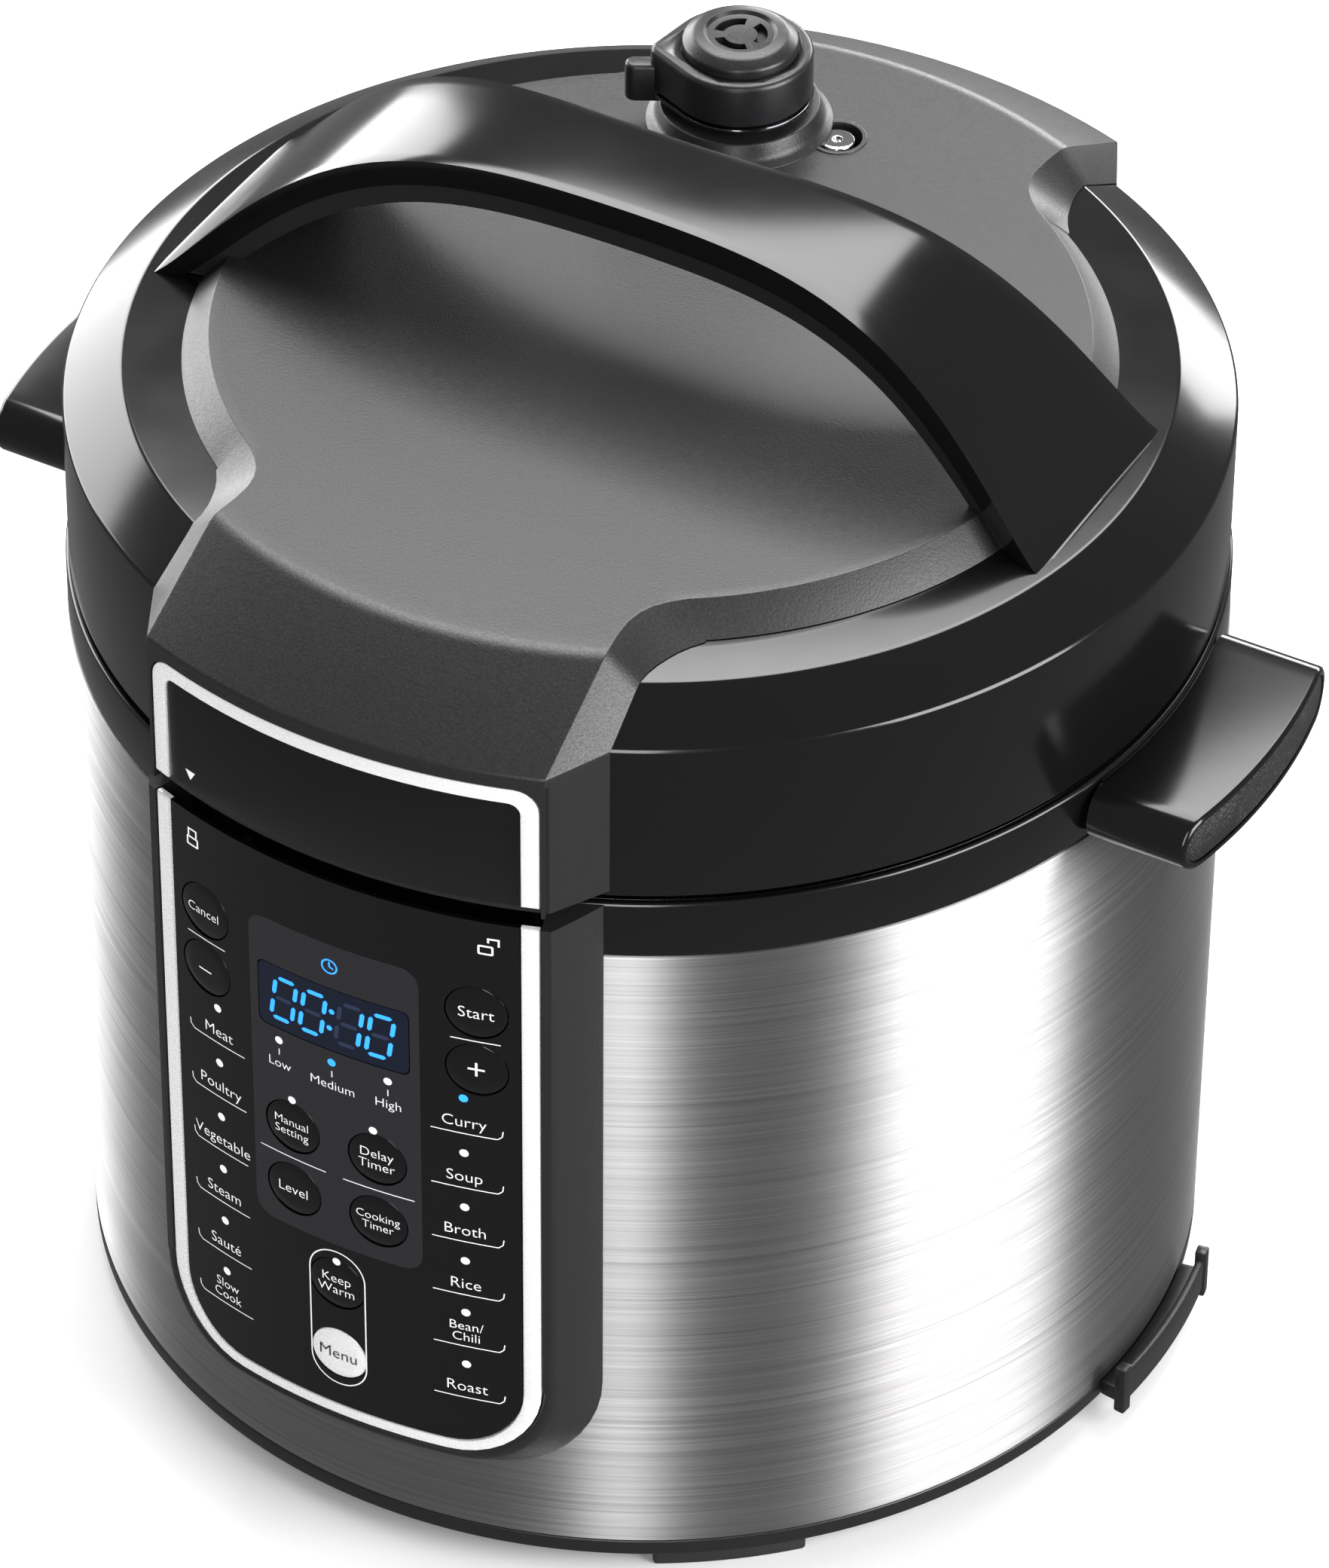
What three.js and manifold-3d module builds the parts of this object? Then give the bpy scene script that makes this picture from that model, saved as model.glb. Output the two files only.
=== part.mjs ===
// Electric pressure cooker, six-litre class.
// Millimetres, +Z up. The origin is the middle of the footprint, on the surface the feet stand on.
// The control panel faces -Y and the two side handles lie along X.
import * as THREE from 'three';
import { mergeVertices } from 'three/addons/utils/BufferGeometryUtils.js';
import Module from 'manifold-3d';

const wasm = await Module();
wasm.setup();

// ---------- driving dimensions ----------

const GAP = 0.3;                   // clearance between pieces that touch
const CUT = 5;                     // how far a cutting tool runs past the piece that it cuts

// cooking pot and body
const POT_RADIUS = 111;            // outside of the removable pot
const POT_WALL = 1.2;
const POT_CORNER = 10;             // chamfer between the pot's floor and wall
const POT_LIP = 6.5;               // how far the pot's rim stands out
const POT_CLEARANCE = 2.7;         // pot to the fixed well around it
const BODY_SPACE = 29;             // pot to the outside of the steel body
const BODY_BOTTOM = 12;            // steel's lower edge above the table
const BODY_HEIGHT = 186;           // steel wall
const BODY_WALL = 0.8;
const COLLAR_HEIGHT = 15.5;
const COLLAR_WALL = 2.6;
const DECK_THICKNESS = 2.2;        // floor of the collar's gutter
const LIP_WALL = 3;                // collar's upstand round the well
const LID_SEAM = 1.6;              // open seam between collar and lid

// base
const BASE_EDGE = 6;               // underside of the base ring
const FLOOR_TOP = 11;              // top of the base tray's floor
const FLOOR_THICKNESS = 2.5;
const BASE_RING_WIDTH = 29;
const LOCATING_RISE = 12;          // the upstand that centres the steel wall, and its twin on the collar
const LOCATING_WALL = 2;
const VENT_COUNT = 6;
const VENT_HALF = 2;
const VENT_INNER = 40;
const VENT_OUTER = 74;
const FOOT_ANGLES = [38, 142, -142, -38];
const FOOT_HALF_ANGLE = 8;
const FOOT_WIDTH = 20;
const FOOT_INSET = 3.7;            // foot's outer edge inside the body's radius

// well, heater and sensor
const WELL_FLOOR = 38;             // underside of the fixed well
const WELL_WALL = 1.2;
const WELL_OPENING = 20;           // round the sensor
const FLANGE_WIDTH = 4.1;
const POST_INSET = 18;
const POST_ANGLES = [75, 180, 285];
const HEATER_RADIUS = 88;
const HEATER_BORE = 17;
const HEATER_HEIGHT = 19.6;
const HEATER_STEP = 22;            // its thin outer rim
const HEATER_STEP_RISE = 6;
const SENSOR_RADIUS = 11.5;
const FLANGE_THICKNESS = 2.6;      // the well's bayonet flange
const LUG_COUNT = 6;
const LUG_HALF_ANGLE = 11.25;
const LUG_REACH = 4.4;             // flange lugs stand out this far
const POST_RADIUS = 5;

// lid
const SKIRT_INSET = 1;             // lid skirt inside the body's radius
const SKIRT_HEIGHT = 42.6;         // lid's lower edge to its crease
const SKIRT_WALL = 3;
const RING_WALL = 2.8;
const RING_LAND = 6;               // the flat ring reaches this far under the cover
const CHAMFER_WIDTH = 14.4;        // crease to the flat ring
const CHAMFER_RISE = 8.7;
const COVER_MARGIN = 14.1;         // flat ring's edge to the foot of the cover
const COVER_SLOPE = 6.5;           // how far the cover's side leans in
const COVER_HEIGHT = 7.3;
const COVER_WALL = 2.6;
const TONGUE_PROUD = 11;           // front face of tongues and panel beyond the steel
const TONGUE_FRONT_HALF = 52.2;
const TONGUE_SIDE_HALF = 60;
const TONGUE_WAIST_HALF = 58.6;    // narrowest, where it leaves the dish
const TONGUE_SHOULDER = 27;        // flat top ends this far behind the front face
const TONGUE_DROP = 2;             // tongue's lower edge above the skirt's
const BAND_SLOT = 2;               // depth of the pockets for trims and plates

// lid handle
const ARCH_HEIGHT = 51.2;
const ARCH_INSET = 5.4;            // end of the arch inside the flat ring's edge
const ARCH_MIDDLE_HALF = 15.5;     // half width in the middle
const ARCH_END_HALF = 31.5;        // half width at the feet
const ARCH_SKIN = 7;               // top shell
const ARCH_GRIP = 5.7;             // lower grip
const ARCH_SHOULDER = 31.87;       // run of each curved leg
const ARCH_SHARPNESS = 1.33;
const GRIP_INSET = 1.6;            // grip's edge inside the shell's
const SCREW_INSET = 12;            // screw axis inside the end of the arch
const SCREW_RADIUS = 1.6;
const SCREW_HEAD = 2;
const SCREW_HEAD_RADIUS = 3.6;
const SCREW_LENGTH = 7;            // above the lid's flat ring

// steam release and float
const VALVE_X = -22.6;
const VALVE_EDGE = 19.4;           // valve axis behind the cover's rear edge
const KNOB_RADIUS = 18.1;
const KNOB_HEIGHT = 13.7;
const KNOB_HEADING = 209;          // lever direction, degrees from +X
const KNOB_LEVER = 28;             // lever tip from the axis
const PEDESTAL_RADIUS = 23;
const PEDESTAL_HEIGHT = 5.6;
const KNOB_LIFT = 2.1;             // knob above its pedestal
const PIPE_RADIUS = 6;
const FLOAT_X = 2;
const FLOAT_EDGE = 14.9;
const FLOAT_RADIUS = 4.4;
const FLOAT_TRAVEL = 5;

// side handles
const HANDLE_REACH = 26.6;         // beyond the steel
const HANDLE_HALF = 37.7;
const HANDLE_THICKNESS = 14.5;
const HANDLE_CROWN = 4.6;          // rise of its curved outer end
const HANDLE_DROP = 1.3;           // handle's top below the collar's
const INSERT_EDGE = 1.6;           // bright edge round the pocket
const INSERT_DEPTH = 1.8;

// control panel
const PANEL_FOOT = 37;             // lower edge of the glossy face above the steel's lower edge
const PANEL_HALF = 46.8;
const TRIM_WIDTH = 4.2;
const PANEL_CORNER = 19;
const BEZEL_FRONT_HALF = 53.6;
const BEZEL_SIDE_HALF = 59.2;
const BEZEL_CORNER = 26;
const PLATE_THICKNESS = 1.2;
const PANEL_LEDGE = 8;             // steel left behind the panel's lower edge
const DISPLAY_LEDGE = 5;           // opening's upper edge above the display
const KEY_RADIUS = 7.6;
const KEY_STEM = 2.5;
const KEY_TRAVEL = 0.8;
const KEY_EDGE = 2.9;              // outer keys to the edge of the glossy face
const KEY_SPACE = 7.4;             // between the two inner columns
const KEY_STEP = 2.2;              // between keys of one pair
const DISPLAY_HALF = 20.2;
const DISPLAY_HEIGHT = 18.8;
const DISPLAY_CORNER = 2;

// ---------- derived sizes ----------

const BODY_RADIUS = POT_RADIUS + BODY_SPACE;
const BODY_TOP = BODY_BOTTOM + BODY_HEIGHT;
const COLLAR_BOTTOM = BODY_TOP + GAP;
const COLLAR_TOP = COLLAR_BOTTOM + COLLAR_HEIGHT;
const COLLAR_RADIUS = BODY_RADIUS - 0.2;
const DECK = COLLAR_BOTTOM + GAP;
const LID_BOTTOM = COLLAR_TOP + LID_SEAM;
const SKIRT_RADIUS = BODY_RADIUS - SKIRT_INSET;
const CREASE = LID_BOTTOM + SKIRT_HEIGHT;
const RING_RADIUS = SKIRT_RADIUS - CHAMFER_WIDTH;
const RING_TOP = CREASE + CHAMFER_RISE;
const SCREW_TOP = RING_TOP + SCREW_LENGTH;
const COVER_FOOT = RING_RADIUS - COVER_MARGIN;
const COVER_EDGE = COVER_FOOT - COVER_SLOPE;
const COVER_TOP = RING_TOP + COVER_HEIGHT;
const RING_BORE = COVER_EDGE - RING_LAND;
const ARCH_REACH = RING_RADIUS - ARCH_INSET;
const ARCH_POWER = ARCH_REACH / ARCH_SHOULDER;
const FRONT_RADIUS = BODY_RADIUS + TONGUE_PROUD;
const TONGUE_BOTTOM = LID_BOTTOM + TONGUE_DROP;
const WELL_RADIUS = POT_RADIUS + POT_CLEARANCE;
const WELL_OUTSIDE = WELL_RADIUS + WELL_WALL;
const FLANGE_BOTTOM = COLLAR_TOP - 6.9;
const FLANGE_TOP = FLANGE_BOTTOM + FLANGE_THICKNESS;
const FLANGE_RADIUS = WELL_OUTSIDE + FLANGE_WIDTH;
const LUG_RADIUS = FLANGE_RADIUS + LUG_REACH;
const HEATER_TOP = WELL_FLOOR + WELL_WALL + GAP + HEATER_HEIGHT;
const POT_FLOOR = HEATER_TOP + GAP;
const POT_RIM = FLANGE_TOP + GAP;
const LID_LUG_RADIUS = LUG_RADIUS + 0.6;
const RIM_INSIDE = LUG_RADIUS + 3.4;
const RIM_OUTSIDE = RIM_INSIDE + 1.5;
const RIM_BOTTOM = FLANGE_BOTTOM - 2.6;
const SEAL_TOP = POT_RIM + POT_WALL + GAP + 11;
const PLATE_TOP = SEAL_TOP + 14.6;
const VALVE_Y = COVER_EDGE - VALVE_EDGE;
const FLOAT_Y = COVER_EDGE - FLOAT_EDGE;
const KNOB_BOTTOM = COVER_TOP + PEDESTAL_HEIGHT + KNOB_LIFT;
const PANEL_BOTTOM = BODY_BOTTOM + PANEL_FOOT;
const PANEL_TOP = COLLAR_TOP - GAP;
const BOARD_FRONT = BODY_RADIUS - 1.6;
const FACE_HEIGHT = PANEL_TOP - PANEL_BOTTOM;
const OUTER_COLUMN = PANEL_HALF - KEY_EDGE - KEY_RADIUS;
const INNER_COLUMN = KEY_RADIUS + KEY_SPACE / 2;
const TOP_PITCH = 2 * KEY_RADIUS + KEY_STEP;
const MIDDLE_PITCH = 2 * KEY_RADIUS + 2 * KEY_STEP;
const TOP_ROW = PANEL_BOTTOM + 0.832 * FACE_HEIGHT;
const MIDDLE_ROW = PANEL_BOTTOM + 0.51 * FACE_HEIGHT;
const DISPLAY_MIDDLE = PANEL_BOTTOM + 0.745 * FACE_HEIGHT;
const DISPLAY_LOW = DISPLAY_MIDDLE - DISPLAY_HEIGHT / 2;
const DISPLAY_HIGH = DISPLAY_MIDDLE + DISPLAY_HEIGHT / 2;
const WINDOW_ANGLE = Math.asin((PANEL_HALF - KEY_EDGE + 0.7) / FRONT_RADIUS) * 180 / Math.PI;

// ---------- colours ----------

function finish(color, roughness, metalness) {
  return new THREE.MeshStandardMaterial({ color, roughness, metalness });
}
const GLOSS_BLACK = finish(0x141416, 0.12, 0);
const MATTE_BLACK = finish(0x2b2b2d, 0.6, 0);
const SATIN_BLACK = finish(0x1b1b1d, 0.4, 0);
const STEEL = finish(0xc9c8c6, 0.32, 1);
const CHROME = finish(0xe8e8ea, 0.08, 1);
const ALUMINIUM = finish(0xb4b5b7, 0.45, 1);
const RUBBER = finish(0x1c1c1c, 0.85, 0);
const SILICONE = finish(0xd9dbda, 0.5, 0);
const NON_STICK = finish(0x37373a, 0.35, 0.2);
const BOARD_GREEN = finish(0x1f5a3a, 0.5, 0);
const DISPLAY_BLUE = finish(0x0d1a33, 0.1, 0);
const CLEAR = finish(0xcfd8dc, 0.1, 0);

// ---------- geometry helpers ----------

const RING_SIDES = 48;             // every piece round the main axis shares these facets
const FINE_SIDES = 96;             // broad gentle curves
const ROUND_SIDES = 20;            // knob and cap
const SMALL_SIDES = 16;
const SAGITTA = 0.08;              // how far a curved band's facets lie inside its curve

function radians(degrees) {
  return degrees * Math.PI / 180;
}

// A place at an angle from the front, growing towards +X.
function around(radius, degrees) {
  const angle = radians(degrees);
  return [radius * Math.sin(angle), -radius * Math.cos(angle)];
}

// Merges shared corners and drops faces that have lost their area.
function welded(geometry) {
  const bare = geometry.clone();
  bare.deleteAttribute('normal');
  bare.deleteAttribute('uv');
  const merged = mergeVertices(bare, 1e-4);
  const index = merged.index.array;
  const kept = [];
  for (let i = 0; i < index.length; i += 3) {
    const [a, b, c] = index.slice(i, i + 3);
    if (a !== b && b !== c && c !== a) kept.push(a, b, c);
  }
  merged.setIndex(kept);
  return merged;
}

function toSolid(geometry) {
  const merged = welded(geometry);
  return new wasm.Manifold(new wasm.Mesh({
    numProp: 3,
    vertProperties: new Float32Array(merged.attributes.position.array),
    triVerts: new Uint32Array(merged.index.array),
  }));
}

function toGeometry(solid) {
  const result = solid.getMesh();
  const geometry = new THREE.BufferGeometry();
  geometry.setAttribute('position', new THREE.BufferAttribute(result.vertProperties, 3));
  geometry.setIndex(new THREE.BufferAttribute(result.triVerts, 1));
  return geometry;
}

function joined(...solids) {
  return solids.reduce((whole, solid) => whole.add(solid));
}

function cut(solid, ...tools) {
  return tools.reduce((rest, tool) => rest.subtract(tool), solid);
}

// A closed outline of [radius, height] points turned about the vertical axis.
function turned(outline, sides = RING_SIDES) {
  const onAxis = outline[0][0] === 0 && outline[outline.length - 1][0] === 0;
  const loop = onAxis ? outline : [...outline, outline[0]];
  const points = loop.map(([radius, height]) => new THREE.Vector2(radius, height));
  if (THREE.ShapeUtils.area(points) < 0) points.reverse();
  const geometry = new THREE.LatheGeometry(points, sides);
  geometry.rotateX(Math.PI / 2);
  return toSolid(geometry);
}

// A flat outline from corners [x, y, corner radius].
function roundedShape(corners) {
  const shape = new THREE.Shape();
  corners.forEach(([x, y, radius = 0], i) => {
    if (radius === 0) {
      if (i === 0) shape.moveTo(x, y);
      else shape.lineTo(x, y);
      return;
    }
    const here = new THREE.Vector2(x, y);
    const previous = corners[(i + corners.length - 1) % corners.length];
    const next = corners[(i + 1) % corners.length];
    const back = new THREE.Vector2(previous[0], previous[1]).sub(here).normalize();
    const ahead = new THREE.Vector2(next[0], next[1]).sub(here).normalize();
    const half = Math.acos(back.dot(ahead)) / 2;
    const start = here.clone().addScaledVector(back, radius / Math.tan(half));
    const end = here.clone().addScaledVector(ahead, radius / Math.tan(half));
    const inward = back.clone().add(ahead).normalize();
    const centre = here.clone().addScaledVector(inward, radius / Math.sin(half));
    const from = Math.atan2(start.y - centre.y, start.x - centre.x);
    const to = Math.atan2(end.y - centre.y, end.x - centre.x);
    if (i > 0 && shape.curves.length === 0) shape.lineTo(start.x, start.y);
    shape.absarc(centre.x, centre.y, radius, from, to, back.cross(ahead) > 0);
  });
  return shape;
}

function rectangle(x0, x1, y0, y1, radius = 0) {
  return roundedShape([[x0, y0, radius], [x1, y0, radius], [x1, y1, radius], [x0, y1, radius]]);
}

// A band of a ring between two radii and two angles from the front.
function sector(inner, outer, from, to) {
  const shape = new THREE.Shape();
  const start = radians(from - 90);
  const end = radians(to - 90);
  shape.absarc(0, 0, outer, start, end, false);
  shape.absarc(0, 0, inner, end, start, true);
  return shape;
}

function extruded(shape, depth, curveSegments) {
  return new THREE.ExtrudeGeometry(shape, { depth, bevelEnabled: false, curveSegments });
}

// An outline seen from above, between two heights.
function slab(shape, bottom, top, curveSegments = 4) {
  return toSolid(extruded(shape, top - bottom, curveSegments).translate(0, 0, bottom));
}

// An outline seen from the front, between two values of y.
function frontSlab(shape, y0, y1, curveSegments = 4) {
  return toSolid(extruded(shape, y1 - y0, curveSegments).rotateX(Math.PI / 2).translate(0, y1, 0));
}

// An outline in (y, z), between two values of x.
function sideSlab(shape, x0, x1, curveSegments = 4) {
  const geometry = extruded(shape, x1 - x0, curveSegments);
  geometry.rotateX(Math.PI / 2).rotateZ(Math.PI / 2).translate(x0, 0, 0);
  return toSolid(geometry);
}

function band(inner, outer, from, to, bottom, top) {
  const step = 2 * Math.acos(1 - SAGITTA / outer);
  const steps = Math.ceil(radians(to - from) / step / 2);
  return slab(sector(inner, outer, from, to), bottom, top, steps);
}

function box(x0, x1, y0, y1, z0, z1) {
  const geometry = new THREE.BoxGeometry(x1 - x0, y1 - y0, z1 - z0);
  return toSolid(geometry.translate((x0 + x1) / 2, (y0 + y1) / 2, (z0 + z1) / 2));
}

function rod(x, y, radius, bottom, top, sides = SMALL_SIDES) {
  return turned([[0, bottom], [radius, bottom], [radius, top], [0, top]], sides).translate([x, y, 0]);
}

const cooker = new THREE.Group();

function piece(name, solid, material, parent = cooker) {
  const mesh = new THREE.Mesh(toGeometry(solid), material);
  mesh.name = name;
  parent.add(mesh);
  return mesh;
}

// ---------- base tray and feet ----------

function baseTray() {
  const lip = BODY_RADIUS - BODY_WALL - GAP;
  const tray = turned([
    [BODY_RADIUS, BASE_EDGE],
    [BODY_RADIUS, BODY_BOTTOM - GAP],
    [lip, BODY_BOTTOM - GAP],
    [lip, BODY_BOTTOM + LOCATING_RISE],
    [lip - LOCATING_WALL, BODY_BOTTOM + LOCATING_RISE],
    [lip - LOCATING_WALL, FLOOR_TOP],
    [0, FLOOR_TOP],
    [0, FLOOR_TOP - FLOOR_THICKNESS],
    [BODY_RADIUS - BASE_RING_WIDTH, FLOOR_TOP - FLOOR_THICKNESS],
    [BODY_RADIUS - BASE_RING_WIDTH, BASE_EDGE],
  ]);
  const slots = [];
  for (let i = 0; i < VENT_COUNT; i += 1) {
    const slot = box(-VENT_HALF, VENT_HALF, VENT_INNER, VENT_OUTER,
      FLOOR_TOP - FLOOR_THICKNESS - CUT, FLOOR_TOP + CUT);
    slots.push(slot.rotate([0, 0, i * 360 / VENT_COUNT]));
  }
  piece('base_tray', cut(tray, ...slots), SATIN_BLACK);
}

function feet() {
  const outer = BODY_RADIUS - FOOT_INSET;
  FOOT_ANGLES.forEach((angle, i) => {
    const foot = band(outer - FOOT_WIDTH, outer, -FOOT_HALF_ANGLE, FOOT_HALF_ANGLE, 0, BASE_EDGE - GAP);
    piece(`foot_${i + 1}`, foot.rotate([0, 0, angle]), RUBBER);
  });
}

// ---------- steel body, collar and their fittings ----------

const INLET_HALF = 14;             // power inlet body
const INLET_LOW = 27;
const INLET_HIGH = 51;
const INLET_FLANGE = 5;            // flange's width round the block
const INLET_PROUD = 2.1;           // flange's thickness
const INLET_DEPTH = 20;
const SOCKET_HALF = 11.5;
const SOCKET_HALF_HEIGHT = 8.5;
const SOCKET_DEPTH = 14;

function outerShell() {
  const inside = BODY_RADIUS - BODY_WALL;
  const wall = turned([
    [inside, BODY_BOTTOM],
    [BODY_RADIUS, BODY_BOTTOM],
    [BODY_RADIUS, BODY_TOP],
    [inside, BODY_TOP],
  ]);
  const window = band(inside - CUT, BODY_RADIUS + CUT, -WINDOW_ANGLE, WINDOW_ANGLE,
    PANEL_BOTTOM + PANEL_LEDGE, DISPLAY_HIGH + DISPLAY_LEDGE);
  const inletHole = box(-INLET_HALF - GAP, INLET_HALF + GAP, inside - 2 * CUT, BODY_RADIUS + CUT,
    INLET_LOW - GAP, INLET_HIGH + GAP);
  piece('outer_shell', cut(wall, window, inletHole), STEEL);
}

function collar() {
  const lip = BODY_RADIUS - BODY_WALL - 2 * GAP;
  const inner = WELL_OUTSIDE + 1 + GAP;
  piece('collar', turned([
    [COLLAR_RADIUS, COLLAR_BOTTOM],
    [COLLAR_RADIUS, COLLAR_TOP],
    [COLLAR_RADIUS - COLLAR_WALL, COLLAR_TOP],
    [COLLAR_RADIUS - COLLAR_WALL, DECK],
    [inner + LIP_WALL, DECK],
    [inner + LIP_WALL, FLANGE_BOTTOM - GAP],
    [inner, FLANGE_BOTTOM - GAP],
    [inner, DECK - DECK_THICKNESS],
    [lip - LOCATING_WALL, DECK - DECK_THICKNESS],
    [lip - LOCATING_WALL, BODY_TOP - LOCATING_RISE],
    [lip, BODY_TOP - LOCATING_RISE],
    [lip, COLLAR_BOTTOM],
  ]), GLOSS_BLACK);
}

// A side handle is a slab with fully rounded sides and a curved outer end, and its end face holds
// a grained insert in a shallow pocket.
function sideHandle(side, name) {
  const top = COLLAR_TOP - HANDLE_DROP;
  const bottom = top - HANDLE_THICKNESS;
  const tip = BODY_RADIUS + HANDLE_REACH;
  const crownRadius = (HANDLE_HALF ** 2 + HANDLE_CROWN ** 2) / (2 * HANDLE_CROWN);
  const crownCentre = tip - crownRadius;
  const crown = (radius, inset) => {
    const edge = rectangle(-HANDLE_HALF + inset, HANDLE_HALF - inset, bottom + inset, top - inset,
      HANDLE_THICKNESS / 2 - inset - 0.01);
    const disc = turned([[0, 0], [radius, 0], [radius, COLLAR_TOP], [0, COLLAR_TOP]], FINE_SIDES);
    return sideSlab(edge, BODY_RADIUS - 10, tip + CUT, 4).intersect(disc.translate([crownCentre, 0, 0]));
  };
  const bodyTool = turned([
    [0, 0],
    [BODY_RADIUS + GAP, 0],
    [BODY_RADIUS + GAP, COLLAR_TOP],
    [0, COLLAR_TOP],
  ]);
  const pocketFloor = turned([
    [0, 0],
    [crownRadius - INSERT_DEPTH, 0],
    [crownRadius - INSERT_DEPTH, COLLAR_TOP],
    [0, COLLAR_TOP],
  ], FINE_SIDES).translate([crownCentre, 0, 0]);
  const pocket = crown(crownRadius + CUT, INSERT_EDGE).subtract(pocketFloor);
  const insertFloor = turned([
    [0, 0],
    [crownRadius - INSERT_DEPTH + GAP, 0],
    [crownRadius - INSERT_DEPTH + GAP, COLLAR_TOP],
    [0, COLLAR_TOP],
  ], FINE_SIDES).translate([crownCentre, 0, 0]);
  const slabBody = cut(crown(crownRadius, 0), bodyTool, pocket);
  const insert = crown(crownRadius - GAP, INSERT_EDGE + GAP).subtract(insertFloor);
  const turn = [0, 0, side > 0 ? 0 : 180];
  piece(`side_handle_${name}`, slabBody.rotate(turn), GLOSS_BLACK);
  piece(`grip_insert_${name}`, insert.rotate(turn), MATTE_BLACK);
}

// The cord bracket is a short ledge beside the base ring with an upright flange and two end tabs.
const BRACKET_START = 82.6;        // ledge, degrees from the front
const BRACKET_END = 102.4;
const BRACKET_REACH = 5;
const BRACKET_WALL = 2;
const BRACKET_LOW = 8;
const LEDGE_RISE = 4.6;
const FLANGE_RISE = 9.6;
const TAB_DROP = 3;
const TAB_RISE = 11.6;
const TAB_HALF_ANGLE = 0.7;

function cordBracket() {
  const inner = BODY_RADIUS + GAP;
  const face = BODY_RADIUS + BRACKET_REACH;
  const back = face + BRACKET_WALL;
  const ledge = band(inner, face + 1, BRACKET_START, BRACKET_END, BRACKET_LOW, BRACKET_LOW + LEDGE_RISE);
  const flange = band(face, back, BRACKET_START, BRACKET_END, BRACKET_LOW, BRACKET_LOW + FLANGE_RISE);
  const ends = [BRACKET_START + 0.4, BRACKET_END - 0.4];
  const tabs = ends.map((angle) => (
    band(face - 0.6, back + 0.6, angle - TAB_HALF_ANGLE, angle + TAB_HALF_ANGLE,
      BRACKET_LOW - TAB_DROP, BRACKET_LOW + TAB_RISE)));
  const ribs = ends.map((angle) => (
    band(inner, face + 1, angle - 0.5, angle + 0.5, BRACKET_LOW - 1.2, BRACKET_LOW + LEDGE_RISE)));
  piece('cord_bracket', joined(ledge, flange, ...tabs, ...ribs), SATIN_BLACK);
}

// The condensation cup hangs behind the body on a short bracket.
const CUP_HALF_ANGLE = 12;
const CUP_BOTTOM = BODY_TOP - 50;
const CUP_TOP = BODY_TOP - 4;
const CUP_WALL = 1.2;
const CUP_PLATE = 1.5;             // bracket's back plate
const CUP_FLAP = 1;                // bracket's width beyond the cup, in degrees
const HOOD_THICKNESS = 2;

function condensationCup() {
  const plateBack = BODY_RADIUS + GAP;
  const back = plateBack + CUP_PLATE + GAP;
  const wide = CUP_HALF_ANGLE + CUP_FLAP;
  const front = FRONT_RADIUS - GAP;
  const outside = band(back, front, -CUP_HALF_ANGLE, CUP_HALF_ANGLE, CUP_BOTTOM, CUP_TOP);
  const inside = band(back + CUP_WALL, front - CUP_WALL, -CUP_HALF_ANGLE + 0.5, CUP_HALF_ANGLE - 0.5,
    CUP_BOTTOM + CUP_WALL, CUP_TOP + CUT);
  piece('condensation_cup', outside.subtract(inside).rotate([0, 0, 180]), CLEAR);
  const plate = band(plateBack, back - GAP, -wide, wide, CUP_BOTTOM + 12, CUP_TOP - 6);
  const hood = band(plateBack, front, -wide, wide, CUP_TOP + GAP, CUP_TOP + GAP + HOOD_THICKNESS);
  const web = band(plateBack, back - GAP, -wide, wide, CUP_TOP - 7, CUP_TOP + 1);
  piece('cup_bracket', joined(plate, web, hood).rotate([0, 0, 180]), SATIN_BLACK);
}

// The inlet is a flanged block with a three-pin recess that faces backwards.
function powerInlet() {
  const face = BODY_RADIUS + GAP + INLET_PROUD;
  const wide = INLET_HALF + INLET_FLANGE;
  const flange = box(-wide, wide, BODY_RADIUS + GAP, face, INLET_LOW - 4, INLET_HIGH + 4);
  const block = box(-INLET_HALF, INLET_HALF, BODY_RADIUS - INLET_DEPTH, BODY_RADIUS + 1, INLET_LOW,
    INLET_HIGH);
  const middle = (INLET_LOW + INLET_HIGH) / 2;
  const floor = BODY_RADIUS - SOCKET_DEPTH;
  const recess = box(-SOCKET_HALF, SOCKET_HALF, floor, face + CUT, middle - SOCKET_HALF_HEIGHT,
    middle + SOCKET_HALF_HEIGHT);
  const pins = [[-7, -2], [0, 2], [7, -2]].map(([x, z]) => (
    box(x - 1, x + 1, floor - 2, floor + 12, middle + z - 2, middle + z + 2)));
  piece('power_inlet', joined(cut(joined(flange, block), recess), ...pins), SATIN_BLACK);
}

// ---------- cooking well, heater and electronics ----------

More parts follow.
